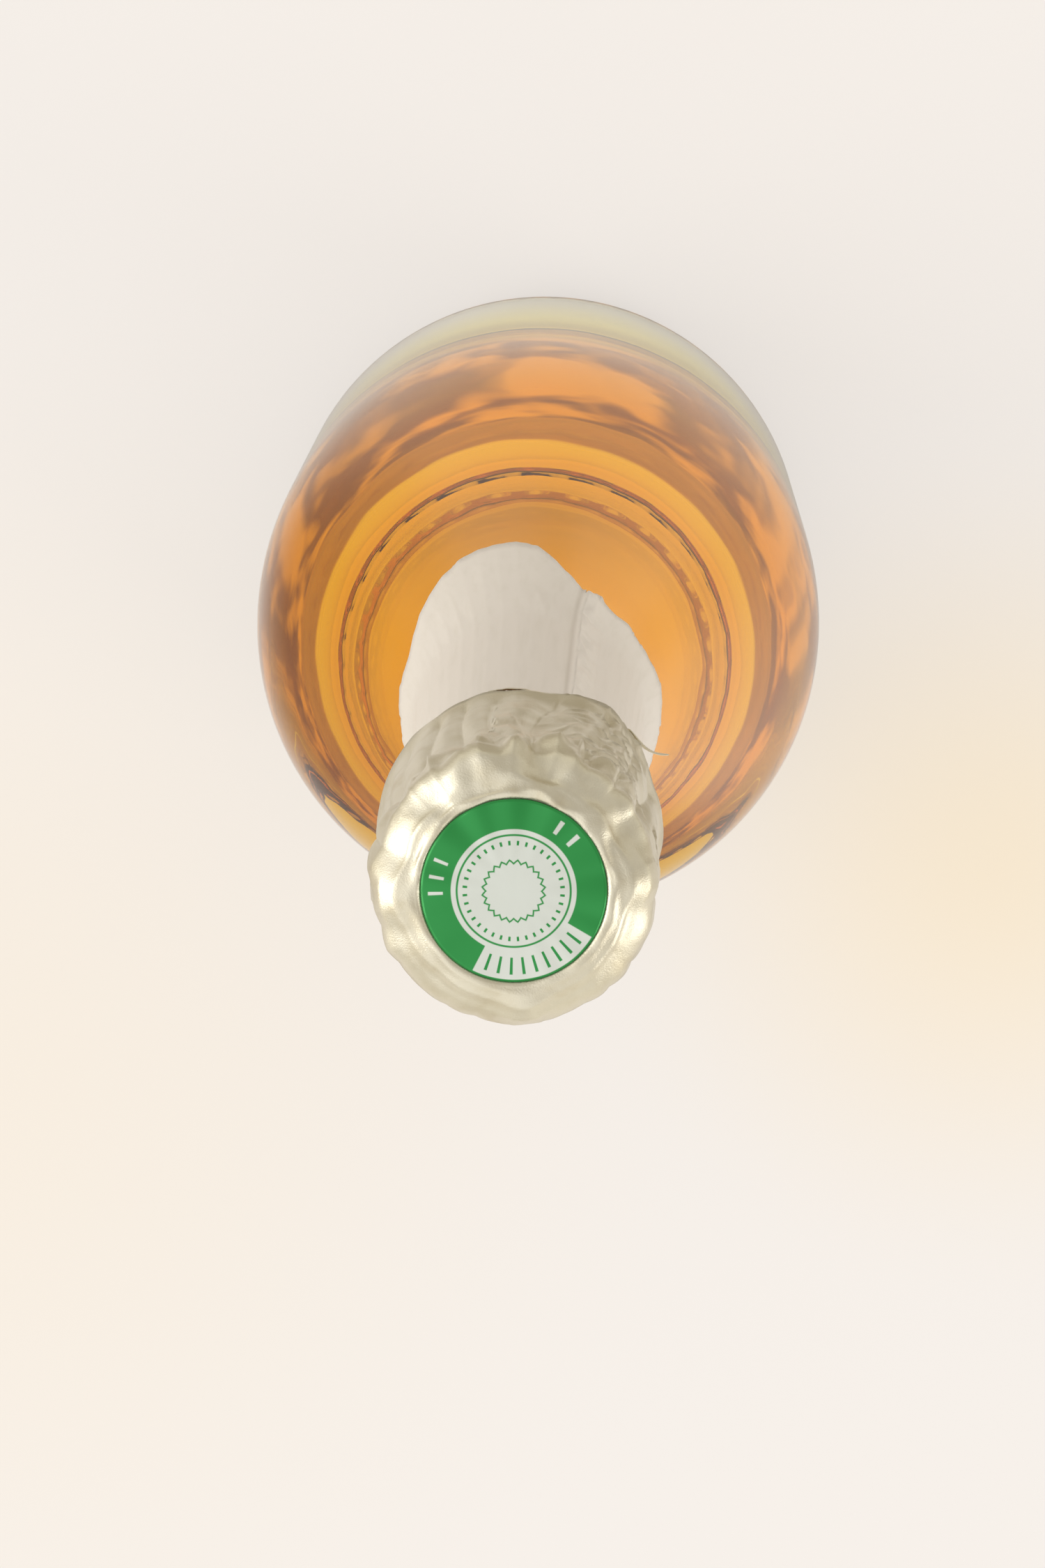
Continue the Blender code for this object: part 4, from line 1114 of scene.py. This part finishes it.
# Painted reflections: patches of light and shade on the far table, seen only by gloss rays.
patches = (pale.noise(3.0, detail=1.0) - 0.6 * pale.along(0)).above(0.52, 0.12)
soft_patches = (pale.noise(7.0, detail=1.0) + 0.2 * pale.along(1)).above(0.46, 0.06)
far = pale.blend(pale.blend(FAR_GOLDEN, FAR_LIGHT, soft_patches), pale.blend(FAR_DARK, FAR_LIGHT, patches), sharp)
mirrored = pale.node("ShaderNodeEmission", {}, far, 1.0)
by_camera = pale.node("ShaderNodeLightPath", {}, out="Is Camera Ray") * SEEN_SHARE
by_glass = pale.node("ShaderNodeLightPath", {}, out="Is Transmission Ray")
by_gloss = pale.node("ShaderNodeLightPath", {}, out="Is Glossy Ray") * radius.above(BOARD_RADIUS, 0.04)
lit = pale.node("ShaderNodeMixShader", {}, by_camera, Value(pale, pale.shader.outputs[0]), seen)
lit = pale.node("ShaderNodeMixShader", {}, by_gloss, lit, mirrored)
lit = pale.node("ShaderNodeMixShader", {}, by_glass, lit, through)
pale.feed(pale.output.inputs["Surface"], lit)
table.data.materials.append(pale.material)

soft_lamp("left_lamp", (1.1, 0.1, 0.9), (0.9, 0.9), 5.6, (1.0, 0.97, 0.93))
soft_lamp("right_lamp", (-1.2, 0.6, 0.9), (0.7, 0.7), 4.0, (1.0, 0.98, 0.96))

# %% [markdown]
# Glass and foil show what stands around them, so the room matters more than the lamps. It is bright above and darker
# towards its walls. Rays that are mirrored, blurred by rough foil or sent through the glass each meet their own
# colours, which stand in for walls and wood outside the picture.

# %% Build the room
SKY_STRENGTH = 0.95
CEILING = (1.0, 0.98, 0.95)
CEILING_DIM = (0.46, 0.43, 0.38)
WALLS = (0.20, 0.17, 0.15)
WALLS_SOFT = (0.95, 0.90, 0.78)
WALLS_GOLDEN = (0.32, 0.275, 0.19)
PATCHES = (0.48, 0.40, 0.34)
WOOD = (0.24, 0.13, 0.05)
WOOD_LIGHT = (1.00, 0.68, 0.32)
sky = bpy.data.worlds.new("sky")
sky.use_nodes = True
room = Nodes(sky.node_tree, "Generated")
clouds = room.noise(5.0, detail=2.0).above(0.53, 0.12)
through = room.node("ShaderNodeLightPath", {}, out="Is Transmission Ray")
mirror = room.node("ShaderNodeLightPath", {}, out="Is Glossy Ray")
blurred = mirror * (1 - room.node("ShaderNodeLightPath", {}, out="Is Singular Ray"))
overhead = room.along(0) + 0.6 * room.along(1) + 0.5 * (room.noise(2.2, detail=1.0) - 0.5)
ceiling = room.blend(room.blend(CEILING, CEILING_DIM, mirror), CEILING, overhead.above(0.05, 0.30))
foil_walls = room.blend(WALLS_GOLDEN, WALLS_SOFT, room.noise(2.6, detail=1.0).above(0.48, 0.05))
plain = room.blend(room.blend(WALLS, PATCHES, clouds), foil_walls, blurred)
walls = room.blend(plain, room.blend(WOOD, WOOD_LIGHT, clouds), through)
shown = room.blend(walls, ceiling, room.along(2).above(0.42 + 0.2 * through, 0.34))
room.feed(sky.node_tree.nodes["Background"].inputs[0], shown)
room.feed(sky.node_tree.nodes["Background"].inputs[1], SKY_STRENGTH)
bpy.context.scene.world = sky
bpy.context.scene.view_settings.view_transform = "Standard"

BOUNCES = 32
bpy.context.scene.cycles.max_bounces = BOUNCES
bpy.context.scene.cycles.transmission_bounces = BOUNCES
